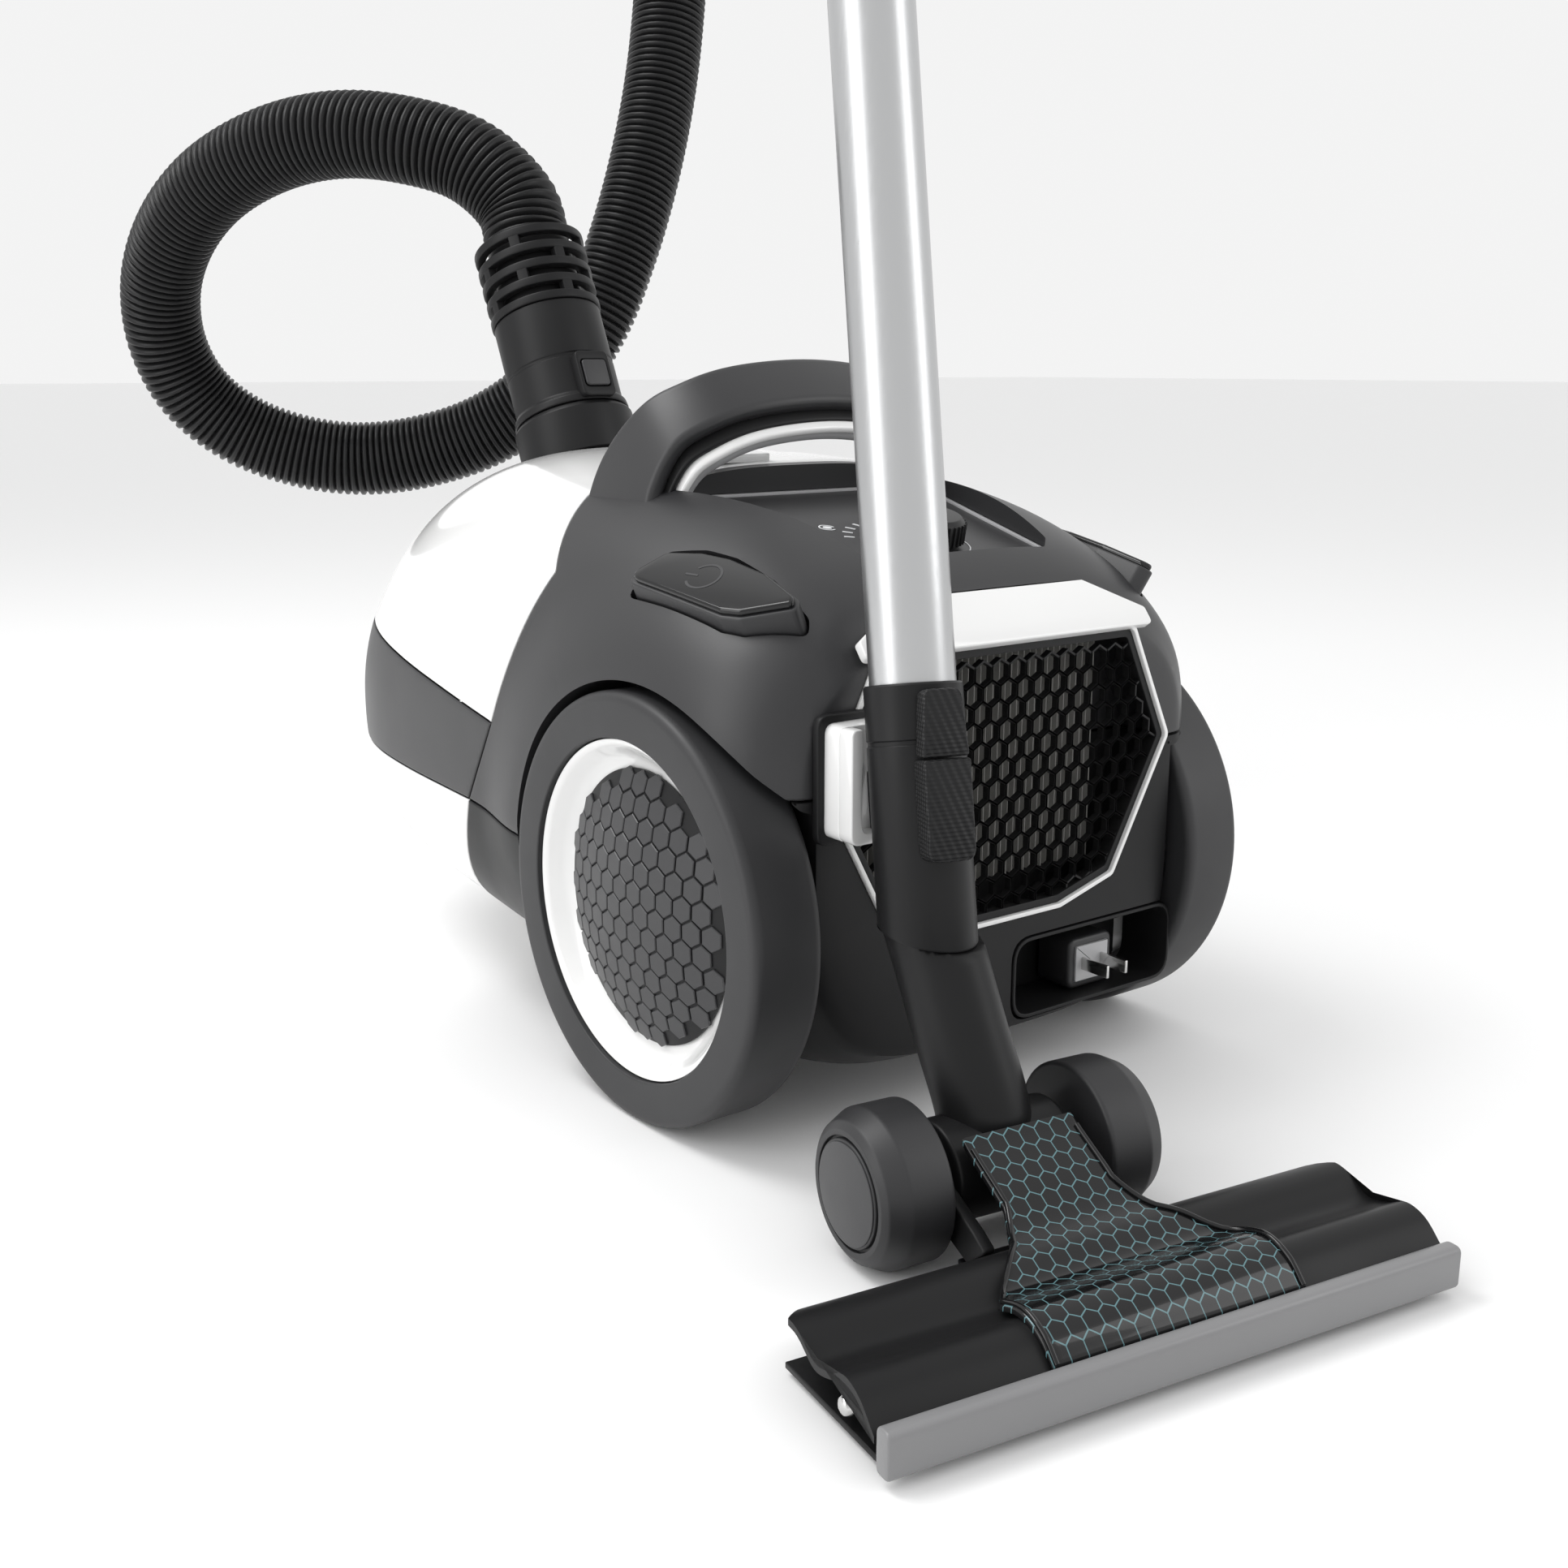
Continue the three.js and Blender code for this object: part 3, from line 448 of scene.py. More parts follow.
def whole_body():
    rings = []
    rear, nose = body_ring(-86), body_ring(408)
    for scale, back in ((0.3, 1.6), (0.6, 1.6), (0.85, 1.6), (0.93, 1.5), (0.965, 1.2), (0.985, 0.7)):
        rings.append((rear - (0, 0, 150)) * (scale, 1, scale) + (0, -back, 150))
    ys = np.concatenate([np.arange(-86, 380, 3.0), np.arange(380, 408, 2.0)])
    rings += [body_ring(y) for y in ys]
    for angle in np.linspace(0, 1.45, 9):
        scale = math.cos(angle)
        rings.append((nose - (0, 0, 139)) * (scale, 1, scale) + (0, 5 * math.sin(angle), 139))
    rings = np.array(rings)
    reach = np.hypot(rings[..., 1], rings[..., 2] - WHEEL_Z)
    flare = np.clip((158 - reach) / 48, 0, 1)
    flare = flare * flare * (3 - 2 * flare) * np.clip((rings[..., 2] - 60) / 60, 0, 1)
    side = np.clip(np.abs(rings[..., 0]) / 120, 0, 1) ** 3
    rings[..., 0] += np.sign(rings[..., 0]) * FLARE * flare * side
    return skin(rings)


def plate(outline, low, high):
    """A flat outline given thickness between two heights."""
    flat = np.asarray(outline, float)
    rings = [np.column_stack([flat, np.full(len(flat), h)]) for h in (low, high)]
    vertices, faces = skin(rings, cap=False)
    count = len(flat)
    return vertices, faces + [tuple(reversed(range(count))), tuple(range(count, 2 * count))]


def turned_to(shape, matrix=None, move=(0, 0, 0)):
    vertices = np.asarray(shape[0], float)
    if matrix is not None:
        vertices = vertices @ np.asarray(matrix, float).T
    return vertices + np.asarray(move, float), shape[1]


def about(axis, angle):
    return np.array(Matrix.Rotation(angle, 3, axis))


def sideways(shape, side=1):
    """A shape standing along Z laid along X, towards one side."""
    vertices, faces = turned_to(shape, about("Y", math.pi / 2))
    return vertices * (side, 1, 1), faces


def upright_to(direction):
    """The smallest turn that takes +Z to a direction."""
    return np.array(Vector((0, 0, 1)).rotation_difference(Vector(direction)).to_matrix())


FACING_REAR = np.array([(1, 0, 0), (0, 0, -1), (0, 1, 0)])
INLET_TURN = upright_to((0, 0.42, 0.907))


def rounded(points, radius, steps=4, closed=True):
    """An outline with each corner turned into an arc of about this radius."""
    p = np.asarray(points, float)
    count, out = len(p), []
    for i in range(count):
        if not closed and i in (0, count - 1):
            out.append(p[i])
            continue
        a, b, c = p[i - 1], p[i], p[(i + 1) % count]
        back, on = (a - b) / np.linalg.norm(a - b), (c - b) / np.linalg.norm(c - b)
        half = math.acos(np.clip(back @ on, -1, 1)) / 2
        r = radius[i] if hasattr(radius, "__len__") else radius
        cut = min(r / max(math.tan(half), 0.05), 0.48 * np.linalg.norm(a - b), 0.48 * np.linalg.norm(c - b))
        if cut < 1e-6:
            out.append(b)
            continue
        start, end = b + back * cut, b + on * cut
        for t in np.linspace(0, 1, steps + 1):
            out.append((1 - t) ** 2 * start + 2 * t * (1 - t) * b + t**2 * end)
    return np.array(out)


def oblong(x0, y0, x1, y1, radius, steps=4):
    """A rectangle with rounded corners."""
    return rounded([(x0, y0), (x1, y0), (x1, y1), (x0, y1)], radius, steps)


def grown(outline, amount):
    """A closed outline moved outwards by this amount (inwards when negative)."""
    p = np.asarray(outline, float)
    before, after = np.roll(p, 1, axis=0), np.roll(p, -1, axis=0)
    area = 0.5 * np.sum(p[:, 0] * after[:, 1] - after[:, 0] * p[:, 1])
    def normals(d):
        return np.sign(area) * np.column_stack([d[:, 1], -d[:, 0]]) / np.linalg.norm(d, axis=1)[:, None]
    n0, n1 = normals(p - before), normals(after - p)
    bend = 1 + np.sum(n0 * n1, axis=1)
    return p + (n0 + n1) * (amount / bend)[:, None]


def lathe(profile, segments=96, closed=False):
    """A profile of (radius, height) turned about Z. An open one starts and ends on the axis."""
    profile = np.asarray(profile, float)
    turn = np.linspace(0, 2 * np.pi, segments, endpoint=False)
    rings = [np.column_stack([r * np.cos(turn), r * np.sin(turn), np.full(segments, h)]) for r, h in profile]
    return skin(rings, closed=closed)


def block(low, high):
    (a, b, c), (d, e, f) = low, high
    return plate([(a, b), (d, b), (d, e), (a, e)], c, f)


def deck_outline(grow=0.0):
    (y0, _, r), (y1, _, f) = DECK_REAR, DECK_FRONT
    outline = [(-r + 8, y0), (r - 8, y0), (r, y0 + 8), (f, y1), (-f, y1), (-r, y0 + 8)]
    return grown(outline, grow)


def on_deck(shape):
    turned = turned_to(shape, None, (0, -DECK_REAR[0], 0))
    return turned_to(turned, about("X", DECK_SLOPE), (0, DECK_REAR[0], DECK_REAR[1]))


def pedal_place(shape, side):
    vertices, faces = turned_to(shape, about("X", 0.2) @ about("Y", -0.495), (-113, -24, 238))
    return vertices * (-side, 1, 1), faces


def hollows():
    """Everything that is cut out of the body before it is split."""
    cuts = [on_deck(plate(rounded(deck_outline(), 5), -5, 60))]
    for side in (-1, 1):
        well = lathe([(0, WELL_FLOOR), (WELL_R, WELL_FLOOR), (WELL_R, 200), (0, 200)], 128)
        cuts.append(turned_to(sideways(well, side), None, (0, 0, WHEEL_Z)))
        cuts.append(pedal_place(plate(rounded(grown(PEDAL, 1.3), 5), -18, 60), side))
    cuts.append(turned_to(plate(rounded(GRILLE, 5), 58, 130), FACING_REAR))
    cuts.append(turned_to(plate(oblong(6, 36, 118, 78, 12, 6), 56, 130), FACING_REAR))
    cuts.append(top_trim(0.5))
    collar = lathe([(0, -18), (36.8, -18), (36.8, 60), (0, 60)], 96)
    cuts.append(turned_to(collar, INLET_TURN, INLET))
    return cuts


def top_trim(grow=0.0):
    outline = rounded(grown([(-88, 217), (88, 217), (88, 226), (56, 244), (-56, 244), (-88, 226)], grow), 2.5)
    shape = turned_to(plate(outline, -grow, 5 + grow), FACING_REAR, (0, 0, -221))
    return turned_to(shape, about("X", math.radians(-38)), (0, -86, 221))


def carved_body():
    body = piece("body_blank", whole_body(), None, None)
    cutters = []
    for i, shape in enumerate(hollows()):
        cutter = piece(f"cutter_{i}", shape, None, None)
        cutters.append(cutter)
        modifier = body.modifiers.new("cut", "BOOLEAN")
        modifier.object = cutter
        modifier.operation = "DIFFERENCE"
        modifier.solver = "EXACT"
    bpy.context.view_layer.update()
    mesh = bpy.data.meshes.new_from_object(body.evaluated_get(bpy.context.evaluated_depsgraph_get()))
    build = bmesh.new()
    build.from_mesh(mesh)
    for obj in (body, *cutters):
        bpy.data.objects.remove(obj)
    return build


def signed_distance(points, polygon):
    """Distance of (y, z) points inside a closed polygon, negative outside."""
    p = np.asarray(polygon, float)
    best = np.full(len(points), 1e9)
    inside = np.zeros(len(points), bool)
    for a, b in zip(p, np.roll(p, -1, axis=0)):
        edge = b - a
        t = np.clip(((points - a) @ edge) / (edge @ edge), 0, 1)
        best = np.minimum(best, np.linalg.norm(points - a - t[:, None] * edge, axis=1))
        crosses = (a[1] > points[:, 1]) != (b[1] > points[:, 1])
        with np.errstate(divide="ignore", invalid="ignore"):
            at = a[0] + (points[:, 1] - a[1]) * (b[0] - a[0]) / (b[1] - a[1])
        inside ^= crosses & (points[:, 0] < at)
    return np.where(inside, best, -best)


SEAM_GAP, SEAM_ROLL, SHELL_WALL = 0.4, 1.3, 2.2


def moulding(name, region, finish, body):
    """One shell of the body: the part inside a side outline, with its seam edges rolled in."""
    build = carved.copy()
    outline = grown(region, -SEAM_GAP)
    for a, b in zip(outline, np.roll(outline, -1, axis=0)):
        middle = (a + b) / 2
        if abs(middle[0]) > 420 or middle[1] > 310 or middle[1] < -15:
            continue  # this edge runs outside the body
        normal = np.array([b[1] - a[1], a[0] - b[0]]) / np.linalg.norm(b - a)
        inwards = -normal if signed_distance((middle + normal)[None], outline)[0] < 0 else normal
        for step in (0.0, 0.35, 0.8, SEAM_ROLL):
            point = Vector(metres((0, *(a + inwards * step))))
            bmesh.ops.bisect_plane(build, geom=build.verts[:] + build.edges[:] + build.faces[:], dist=1e-7,
                                   plane_co=point, plane_no=Vector((0, *inwards)))
    centres = (np.array([f.calc_center_median() for f in build.faces]) - ORIGIN) * 1000
    outside = signed_distance(centres[:, 1:], outline) < 0
    bmesh.ops.delete(build, geom=[f for f, gone in zip(build.faces[:], outside) if gone], context="FACES")
    bmesh.ops.remove_doubles(build, verts=build.verts, dist=5e-5)
    build.normal_update()
    places = (np.array([v.co for v in build.verts]) - ORIGIN) * 1000
    depth = np.clip(signed_distance(places[:, 1:], outline), 0, SEAM_ROLL)
    sink = SEAM_ROLL - np.sqrt(SEAM_ROLL**2 - (SEAM_ROLL - depth) ** 2)
    for vertex, amount in zip(build.verts, sink):
        vertex.co -= vertex.normal * float(amount * 0.75 / 1000)
    mesh = bpy.data.meshes.new(name)
    build.to_mesh(mesh)
    build.free()
    mesh.materials.clear()
    mesh.materials.append(finish)
    mesh.shade_smooth()
    mesh.set_sharp_from_angle(angle=math.radians(35))
    obj = in_scene(f"{name}_moulding", mesh)
    thick = obj.modifiers.new("wall", "SOLIDIFY")
    thick.thickness = SHELL_WALL / 1000
    thick.offset = -1
    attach(obj, body)
    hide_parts(name)


GREY = moulded("grained_grey_plastic", (0.022, 0.022, 0.0235), 0.42, (60, 2, 0.1, 0.36), (0.9, 2, 0.035, 0.6))
WHITE = moulded("polished_white_plastic", (0.8, 0.8, 0.795), 0.16, (45, 4, 0.08, 0.12), coat=0.6)
BLACK = moulded("matt_black_plastic", (0.009, 0.009, 0.0095), 0.4, (35, 3, 0.14, 0.34), (1.0, 2, 0.03, 0.5))
carved = carved_body()
TUB_STEP = [(-200, 163), (-40, 163), (40, 108), BAND_LOW]
LOW_SEAM, NOSE_TOP, NOSE_LOW = (216.6, -20), (430, 205), (430, 120)
moulding("rear_housing", [*TUB_STEP, BAND_TOP, *SEAM_TOP, (-200, 330)], GREY, "chassis")
moulding("lower_shell", [(-200, -20), LOW_SEAM, *reversed(TUB_STEP)], BLACK, "chassis")
moulding("nose_band", [BAND_LOW, NOSE_LOW, NOSE_TOP, BAND_TOP], GREY, "chassis")
moulding("front_lower_shell", [LOW_SEAM, (430, -20), NOSE_LOW, BAND_LOW], WHITE, "chassis")
moulding("dust_lid", [BAND_TOP, NOSE_TOP, (430, 330), *reversed(SEAM_TOP)], WHITE, "lid")
carved.free()


# ---- Wheels -------------------------------------------------------------------------
# Each wheel is a satin rubber tyre pressed over a polished white dish, with a dark domed
# cap of raised hexagon cells clipped into the dish. A steel stub axle carries it.
def bright_metal():
    finish = Finish("bright_steel", (0.62, 0.62, 0.61), 0.22, metallic=1.0)
    streaks = finish.noise(1000, 2.0, finish.place((40, 900, 900)))
    finish.vary("Roughness", streaks * 0.16 + 0.14)
    return finish.material


RUBBER = moulded("satin_rubber", (0.02, 0.02, 0.0215), 0.5, (40, 3, 0.18, 0.4), (1.2, 2, 0.03, 0.5))
CAP_PLASTIC = moulded("cap_cell_plastic", (0.03, 0.03, 0.032), 0.34, (18, 3, 0.16, 0.28), (0.9, 2, 0.02, 0.4))
STEEL = bright_metal()


def copies_tree():
    """Puts a copy of a shape on every point, turned by the points' own angles."""
    tree = bpy.data.node_groups.new("copies_on_points", "GeometryNodeTree")
    for name, kind in (("Points", "Geometry"), ("Shape", "Object"), ("Size", "Float"), ("Spread", "Float"),
                       ("Seed", "Int"), ("Finish", "Material")):
        tree.interface.new_socket(name, in_out="INPUT", socket_type=f"NodeSocket{kind}")
    tree.interface.new_socket("Copies", in_out="OUTPUT", socket_type="NodeSocketGeometry")
    new, link = tree.nodes.new, tree.links.new
    inputs, result = new("NodeGroupInput"), new("NodeGroupOutput")
    shape, turn = new("GeometryNodeObjectInfo"), new("FunctionNodeEulerToRotation")
    angles = new("GeometryNodeInputNamedAttribute")
    angles.data_type = "FLOAT_VECTOR"
    angles.inputs["Name"].default_value = "turn"
    least, most, size = new("ShaderNodeMath"), new("ShaderNodeMath"), new("FunctionNodeRandomValue")
    least.operation, most.operation = "SUBTRACT", "ADD"
    place, realize = new("GeometryNodeInstanceOnPoints"), new("GeometryNodeRealizeInstances")
    paint = new("GeometryNodeSetMaterial")
    link(inputs.outputs["Shape"], shape.inputs["Object"])
    for node in (least, most):
        link(inputs.outputs["Size"], node.inputs[0])
        link(inputs.outputs["Spread"], node.inputs[1])
    link(least.outputs[0], size.inputs[2])
    link(most.outputs[0], size.inputs[3])
    link(inputs.outputs["Seed"], size.inputs["Seed"])
    link(angles.outputs[0], turn.inputs[0])
    link(inputs.outputs["Points"], place.inputs["Points"])
    link(shape.outputs["Geometry"], place.inputs["Instance"])
    link(turn.outputs[0], place.inputs["Rotation"])
    link(size.outputs[1], place.inputs["Scale"])
    link(place.outputs[0], realize.inputs[0])
    link(realize.outputs[0], paint.inputs["Geometry"])
    link(inputs.outputs["Finish"], paint.inputs["Material"])
    link(paint.outputs[0], result.inputs[0])
    return tree


COPIES = copies_tree()


def copies(name, shape, places, turns, finish, body, node, size=1.0, spread=0.0, seed=1, crease=30):
    """Many copies of one small shape, made by the copies tree and turned into one plain mesh."""
    template_mesh = bpy.data.meshes.new("template")
    template_mesh.from_pydata((np.asarray(shape[0], float) / 1000).tolist(), [], shape[1])
    template = bpy.data.objects.new("template", template_mesh)
    mesh = bpy.data.meshes.new("points")
    mesh.from_pydata(metres(places).tolist(), [], [])
    angles = mesh.attributes.new("turn", "FLOAT_VECTOR", "POINT")
    angles.data.foreach_set("vector", np.asarray(turns, float).ravel())
    points = bpy.data.objects.new("points", mesh)
    for obj in (template, points):
        bpy.context.scene.collection.objects.link(obj)
    modifier = points.modifiers.new("copies", "NODES")
    modifier.node_group = COPIES
    values = {"Shape": template, "Size": size, "Spread": spread, "Seed": seed, "Finish": finish}
    for item in COPIES.interface.items_tree:
        if item.in_out == "INPUT" and item.name in values:
            modifier[item.identifier] = values[item.name]
    points.update_tag()
    bpy.context.view_layer.update()
    result = bpy.data.meshes.new_from_object(points.evaluated_get(bpy.context.evaluated_depsgraph_get()))
    for obj in (template, points):
        bpy.data.objects.remove(obj)
    build = bmesh.new()
    build.from_mesh(result)
    bmesh.ops.recalc_face_normals(build, faces=build.faces)
    build.to_mesh(result)
    build.free()
    result.name = name
    result.shade_smooth()
    result.set_sharp_from_angle(angle=math.radians(crease))
    obj = in_scene(name, result)
    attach(obj, body)
    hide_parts(node)
    return obj


def facing(normal):
    """Euler angles that turn +Z to this direction."""
    return tuple(Vector(normal).to_track_quat("Z", "Y").to_euler())


def euler(matrix):
    return tuple(Matrix(matrix.tolist()).to_euler())


def hexagon(radius):
    angles = [math.pi / 6 + k * math.pi / 3 for k in range(6)]
    return [(radius * math.cos(a), radius * math.sin(a)) for a in angles]


def honeycomb(pitch, reach):
    """Centres of hexagon cells out to a distance, pitch being the width across the flats."""
    rows = int(reach / pitch) + 2
    steps = range(-rows, rows + 1)
    cells = [((i + (j % 2) / 2) * pitch, j * pitch * 0.8660) for j in steps for i in steps]
    return [cell for cell in cells if math.hypot(*cell) < reach]


def raised_cell(radius, height, chamfer):
    """A hexagon plate with a sloped edge, standing on z = 0."""
    levels = [(radius, -0.6), (radius, height - chamfer), (radius - chamfer, height)]
    rings = [[(x, y, z) for x, y in hexagon(r)] for r, z in levels]
    vertices, faces = skin(rings, cap=False)
    return vertices, faces + [tuple(range(12, 18))]


def on_axle(shape, side):
    return turned_to(sideways(shape, side), None, (0, 0, WHEEL_Z))


CAP_R, CAP_BACK, CAP_RISE, CELL_PITCH = 64, 138.3, 10.2, 11.2


def cap_height(radius):
    return CAP_BACK + 1.6 + CAP_RISE * (1 - (radius / CAP_R) ** 2.3)


def wheel(side, name):
    body = f"wheel_{name}"
    tyre = rounded([(79, 119), (79, 152), (100, 152), (100, 116), (84, 116)], [0.5, 1, 5, 5, 3], 6)
    piece(f"{body}_tyre", on_axle(lathe(tyre, 160, closed=True), side), RUBBER, body, f"tyre_{name}")
    dish = [(7.4, 118), (71, 118), (78.7, 124), (78.7, 148.4), (78.2, 149.4), (77, 149.3), (75, 147.2),
            (71.5, 142.6), (68, 139.7), (65, 138.4), (60, 138.0), (7.4, 138.0)]
    piece(f"{body}_dish", on_axle(lathe(dish, 160, closed=True), side), WHITE, body, f"rim_{name}", crease=50)
    dome = [(0, CAP_BACK), (CAP_R - 1, CAP_BACK), (CAP_R, CAP_BACK + 0.6)]
    dome += [(r, cap_height(r)) for r in np.linspace(CAP_R, 0, 16)]
    piece(f"{body}_cap", on_axle(lathe(dome, 128), side), BLACK, body, f"hub_cap_{name}", crease=50)
    places, turns = [], []
    for y, z in honeycomb(CELL_PITCH, CAP_R - 4.5):
        radius = math.hypot(y, z)
        slope = CAP_RISE * 2.3 * (radius / CAP_R) ** 1.3 / CAP_R
        normal = (side, slope * y / max(radius, 1e-6), slope * z / max(radius, 1e-6))
        places.append((side * cap_height(radius), y, z + WHEEL_Z))
        turns.append(facing(normal))
    copies(f"{body}_cells", raised_cell(6.05, 1.0, 0.4), places, turns, CAP_PLASTIC, body, f"hub_cap_{name}")
    rod = rounded([(0, 99), (7, 99), (7, 137.9), (0, 137.9)], [0, 0.8, 0.8, 0], 3, closed=False)
    piece(f"{body}_axle", on_axle(lathe(rod, 48), side), STEEL, "chassis", f"axle_{name}")


wheel(-1, "left")
wheel(1, "right")


# ---- Carrying handle and the white bridge under it ----------------------------------
# A wide dark strap arches over the body behind the lid, with a black inner band, a white
# liner frame and a light grey tube under it. Its feet run down into the housing. The lid's
# white catch tab sits on a white bridge panel below.
def light_plastic(name, shade):
    return moulded(name, (shade, shade, shade * 1.02), 0.34, (30, 3, 0.14, 0.28), (1.0, 2, 0.02, 0.4))


LIGHT_GREY = light_plastic("light_grey_plastic", 0.42)
ARCH = [(-94, 95, 256), (-92, 92, 268), (-88, 86, 288), (-79, 73, 310), (-66, 65, 319), (-45, 60, 326),
        (0, 57, 330)]
FOOT_Z, ARCH_RISE = 268, 58
FOOT_HALF, TOP_HALF = 27, 15.5
ARCH_FOOT, ARCH_TOP = np.array((0, 1, 0.12)), np.array((0, 0.74, 0.67))


def strap(scale, drop, width, thickness, radius, back=0.0):
    """A rounded bar along the arch, moved down by drop and back across the strap."""
    arch = np.array(ARCH + [(-x, y, z) for x, y, z in reversed(ARCH[:-1])], float)
    line = smooth_line(arch * (scale, 1, 1) - (0, 0, drop) - ARCH_TOP * back, 8)
    tangents = np.gradient(line, axis=0)
    tangents /= np.linalg.norm(tangents, axis=1)[:, None]
    rings = []
    for point, tangent in zip(line, tangents):
        rise = float(np.clip((point[2] + drop - FOOT_Z) / ARCH_RISE, 0, 1))
        rise = rise * rise * (3 - 2 * rise)
        across = ARCH_FOOT * (1 - rise) + ARCH_TOP * rise
        across = across - tangent * (across @ tangent)
        across /= np.linalg.norm(across)
        over = np.cross(tangent, across)
        half = (FOOT_HALF + (TOP_HALF - FOOT_HALF) * rise) * width
        flat = oblong(-half, -thickness / 2, half, thickness / 2, radius, 5)
        rings.append([point + across * u + over * v for u, v in flat])
    return skin(rings)


def surface_height(x, y):
    half, top, _, middle, upper, _ = station(y)
    return middle + (top - middle) * (1 - min(abs(x) / half, 1) ** upper) ** (1 / upper)


def bridge_panel():
    """A thin panel lying on the body between the handle's feet."""
    xs = np.concatenate([[-75.5], np.linspace(-74, 74, 38), [75.5]])
    ys = np.concatenate([[73.2], np.linspace(74.6, 118, 13), [119.4]])
    low = [[(x, y, surface_height(x, y) - 1.5) for x in xs] for y in ys]
    rims = ({xs[0], xs[-1]}, {ys[0], ys[-1]})
    high = [[(x, y, surface_height(x, y) + (0.1 if x in rims[0] or y in rims[1] else 0.9)) for x in xs]
            for y in ys]
    vertices, faces = [*sum(low, []), *sum(high, [])], []
    rows, cols = len(ys), len(xs)
    size = rows * cols
    for k in (j * cols + i for j in range(rows - 1) for i in range(cols - 1)):
        quad = (k, k + 1, k + cols + 1, k + cols)
        faces += [quad, tuple(size + corner for corner in reversed(quad))]
    edge = [*range(cols), *range(2 * cols - 1, size, cols)]
    edge += [*range(size - 2, size - cols - 1, -1), *range(size - 2 * cols, 0, -cols)]
    faces += [(a, b, size + b, size + a) for a, b in zip(edge, edge[1:] + edge[:1])]
    return vertices, faces


piece("handle_strap", strap(1.0, 0, 1.0, 9, 4.2), GREY, "chassis", "carry_handle")
piece("handle_inner_band", strap(0.96, 5.8, 1.0, 3.2, 1.4, 2), BLACK, "chassis", "carry_handle")
piece("handle_liner_frame", strap(0.92, 8.6, 0.98, 4.4, 2.0, 5), WHITE, "chassis", "handle_liner")
piece("handle_liner_tube", strap(0.86, 15.5, 0.62, 9, 4.4, 4), LIGHT_GREY, "chassis", "handle_liner")
piece("handle_bridge", bridge_panel(), WHITE, "chassis", "handle_liner", crease=50)
catch = turned_to(plate(oblong(-18, -7.5, 18, 7.5, 4, 6), 0, 4.5), about("X", 0.04), (-30, 82.5, 292.2))
piece("catch_tab", catch, WHITE, "lid_latch", "lid_latch", bevel=1.1)


# ---- Control deck and dial ----------------------------------------------------------
# A sunken V-shaped panel with an edge rim painted light grey as a highlight along its edge.
# The ribbed dial stands in its rear part, among printed arcs and plain marks.
PRINT = moulded("white_print", (0.72, 0.73, 0.74), 0.45, (6, 2, 0.1, 0.4))
DIAL_Y = -21
DIAL_RIBS = 40


def ring_plate(outer, inner, low, high):
    """A flat ring between two outlines of equal point counts."""
    rings = [np.column_stack([np.asarray(flat, float), np.full(len(flat), h)])
             for flat, h in ((outer, low), (outer, high), (inner, high), (inner, low))]
    return skin(rings, closed=True)


def arc_band(inner, outer, start, end, low, high, steps=24):
    """A curved strip about the origin; it widens evenly when inner or outer is a pair."""
    angles = np.radians(np.linspace(start, end, steps))
    r0 = np.linspace(*np.broadcast_to(inner, 2), steps)
    r1 = np.linspace(*np.broadcast_to(outer, 2), steps)
    spin = np.stack([np.cos(angles), np.sin(angles)], axis=1)
    outline = np.vstack([spin * r1[:, None], (spin * r0[:, None])[::-1]])
    return plate(outline, low, high)


deck = on_deck(plate(rounded(deck_outline(-0.7), 5), -4, 0))
piece("deck_panel", deck, GREY, "chassis", "control_deck", bevel=0.5)
# The rim's light grey colour is a painted highlight along the deck's sunken edge.
rim = ring_plate(rounded(deck_outline(-0.6), 5, 6), rounded(deck_outline(-2.6), 4, 6), -1, 1.3)
piece("deck_edge_rim", on_deck(rim), LIGHT_GREY, "chassis", "control_deck", bevel=0.3)


def at_dial(shape):
    return on_deck(turned_to(shape, None, (0, DIAL_Y, 0)))


arcs = [arc_band(29, (29.6, 34), 205, 255, 0, 0.25), arc_band(29, (34, 36), 258, 305, 0, 0.25)]
arcs += [arc_band(25.5, 26.1, 195, 345, 0, 0.25, 60)]
marks = [arc_band(30, 35, a - 1.2, a + 1.2, 0, 0.25, 4) for a in range(20, 170, 15)]
dot = lathe([(0, 0), (2.2, 0), (2.2, 0.25), (0, 0.25)], 24)
for shape in (dot, arc_band(3.6, 4.3, 0, 300, 0, 0.25)):
    marks += [turned_to(shape, None, (x, 30, 0)) for x in (-30, 0, 30)]
piece("dial_arcs", at_dial(joined(*arcs)), PRINT, "chassis", "control_deck")
piece("dial_marks", at_dial(joined(*marks)), PRINT, "chassis", "control_deck")
knob = rounded([(0, -7), (20, -7), (20, 1.2), (21.6, 2.2), (21.6, 12), (19.5, 14.3), (0, 14.3)],
               [0, 1, 0.3, 1, 1.5, 1.5, 0], 4, closed=False)
piece("dial_knob", at_dial(lathe(knob, 96)), BLACK, "dial", "speed_dial")
rib = plate(rounded([(-0.55, -1.2), (0.55, -1.2), (0.35, 0.9), (-0.35, 0.9)], 0.2, 2), 2.6, 12.2)
centre = at_dial(([(0, 0, 0)], []))[0][0]
around, angles = [], []
for k in range(DIAL_RIBS):
    angle = 2 * math.pi * k / DIAL_RIBS
    around.append(centre + about("X", DECK_SLOPE) @ (21.6 * math.cos(angle), 21.6 * math.sin(angle), 0))
    angles.append(euler(about("X", DECK_SLOPE) @ about("Z", angle - math.pi / 2)))
copies("dial_grip_ribs", rib, around, angles, BLACK, "dial", "speed_dial")
pointer = joined(block((-0.9, -18, 14.2), (0.9, -7, 14.55)), arc_band(9, 10, 0, 359, 14.2, 14.5, 48))
piece("dial_pointer", at_dial(pointer), PRINT, "dial", "speed_dial")


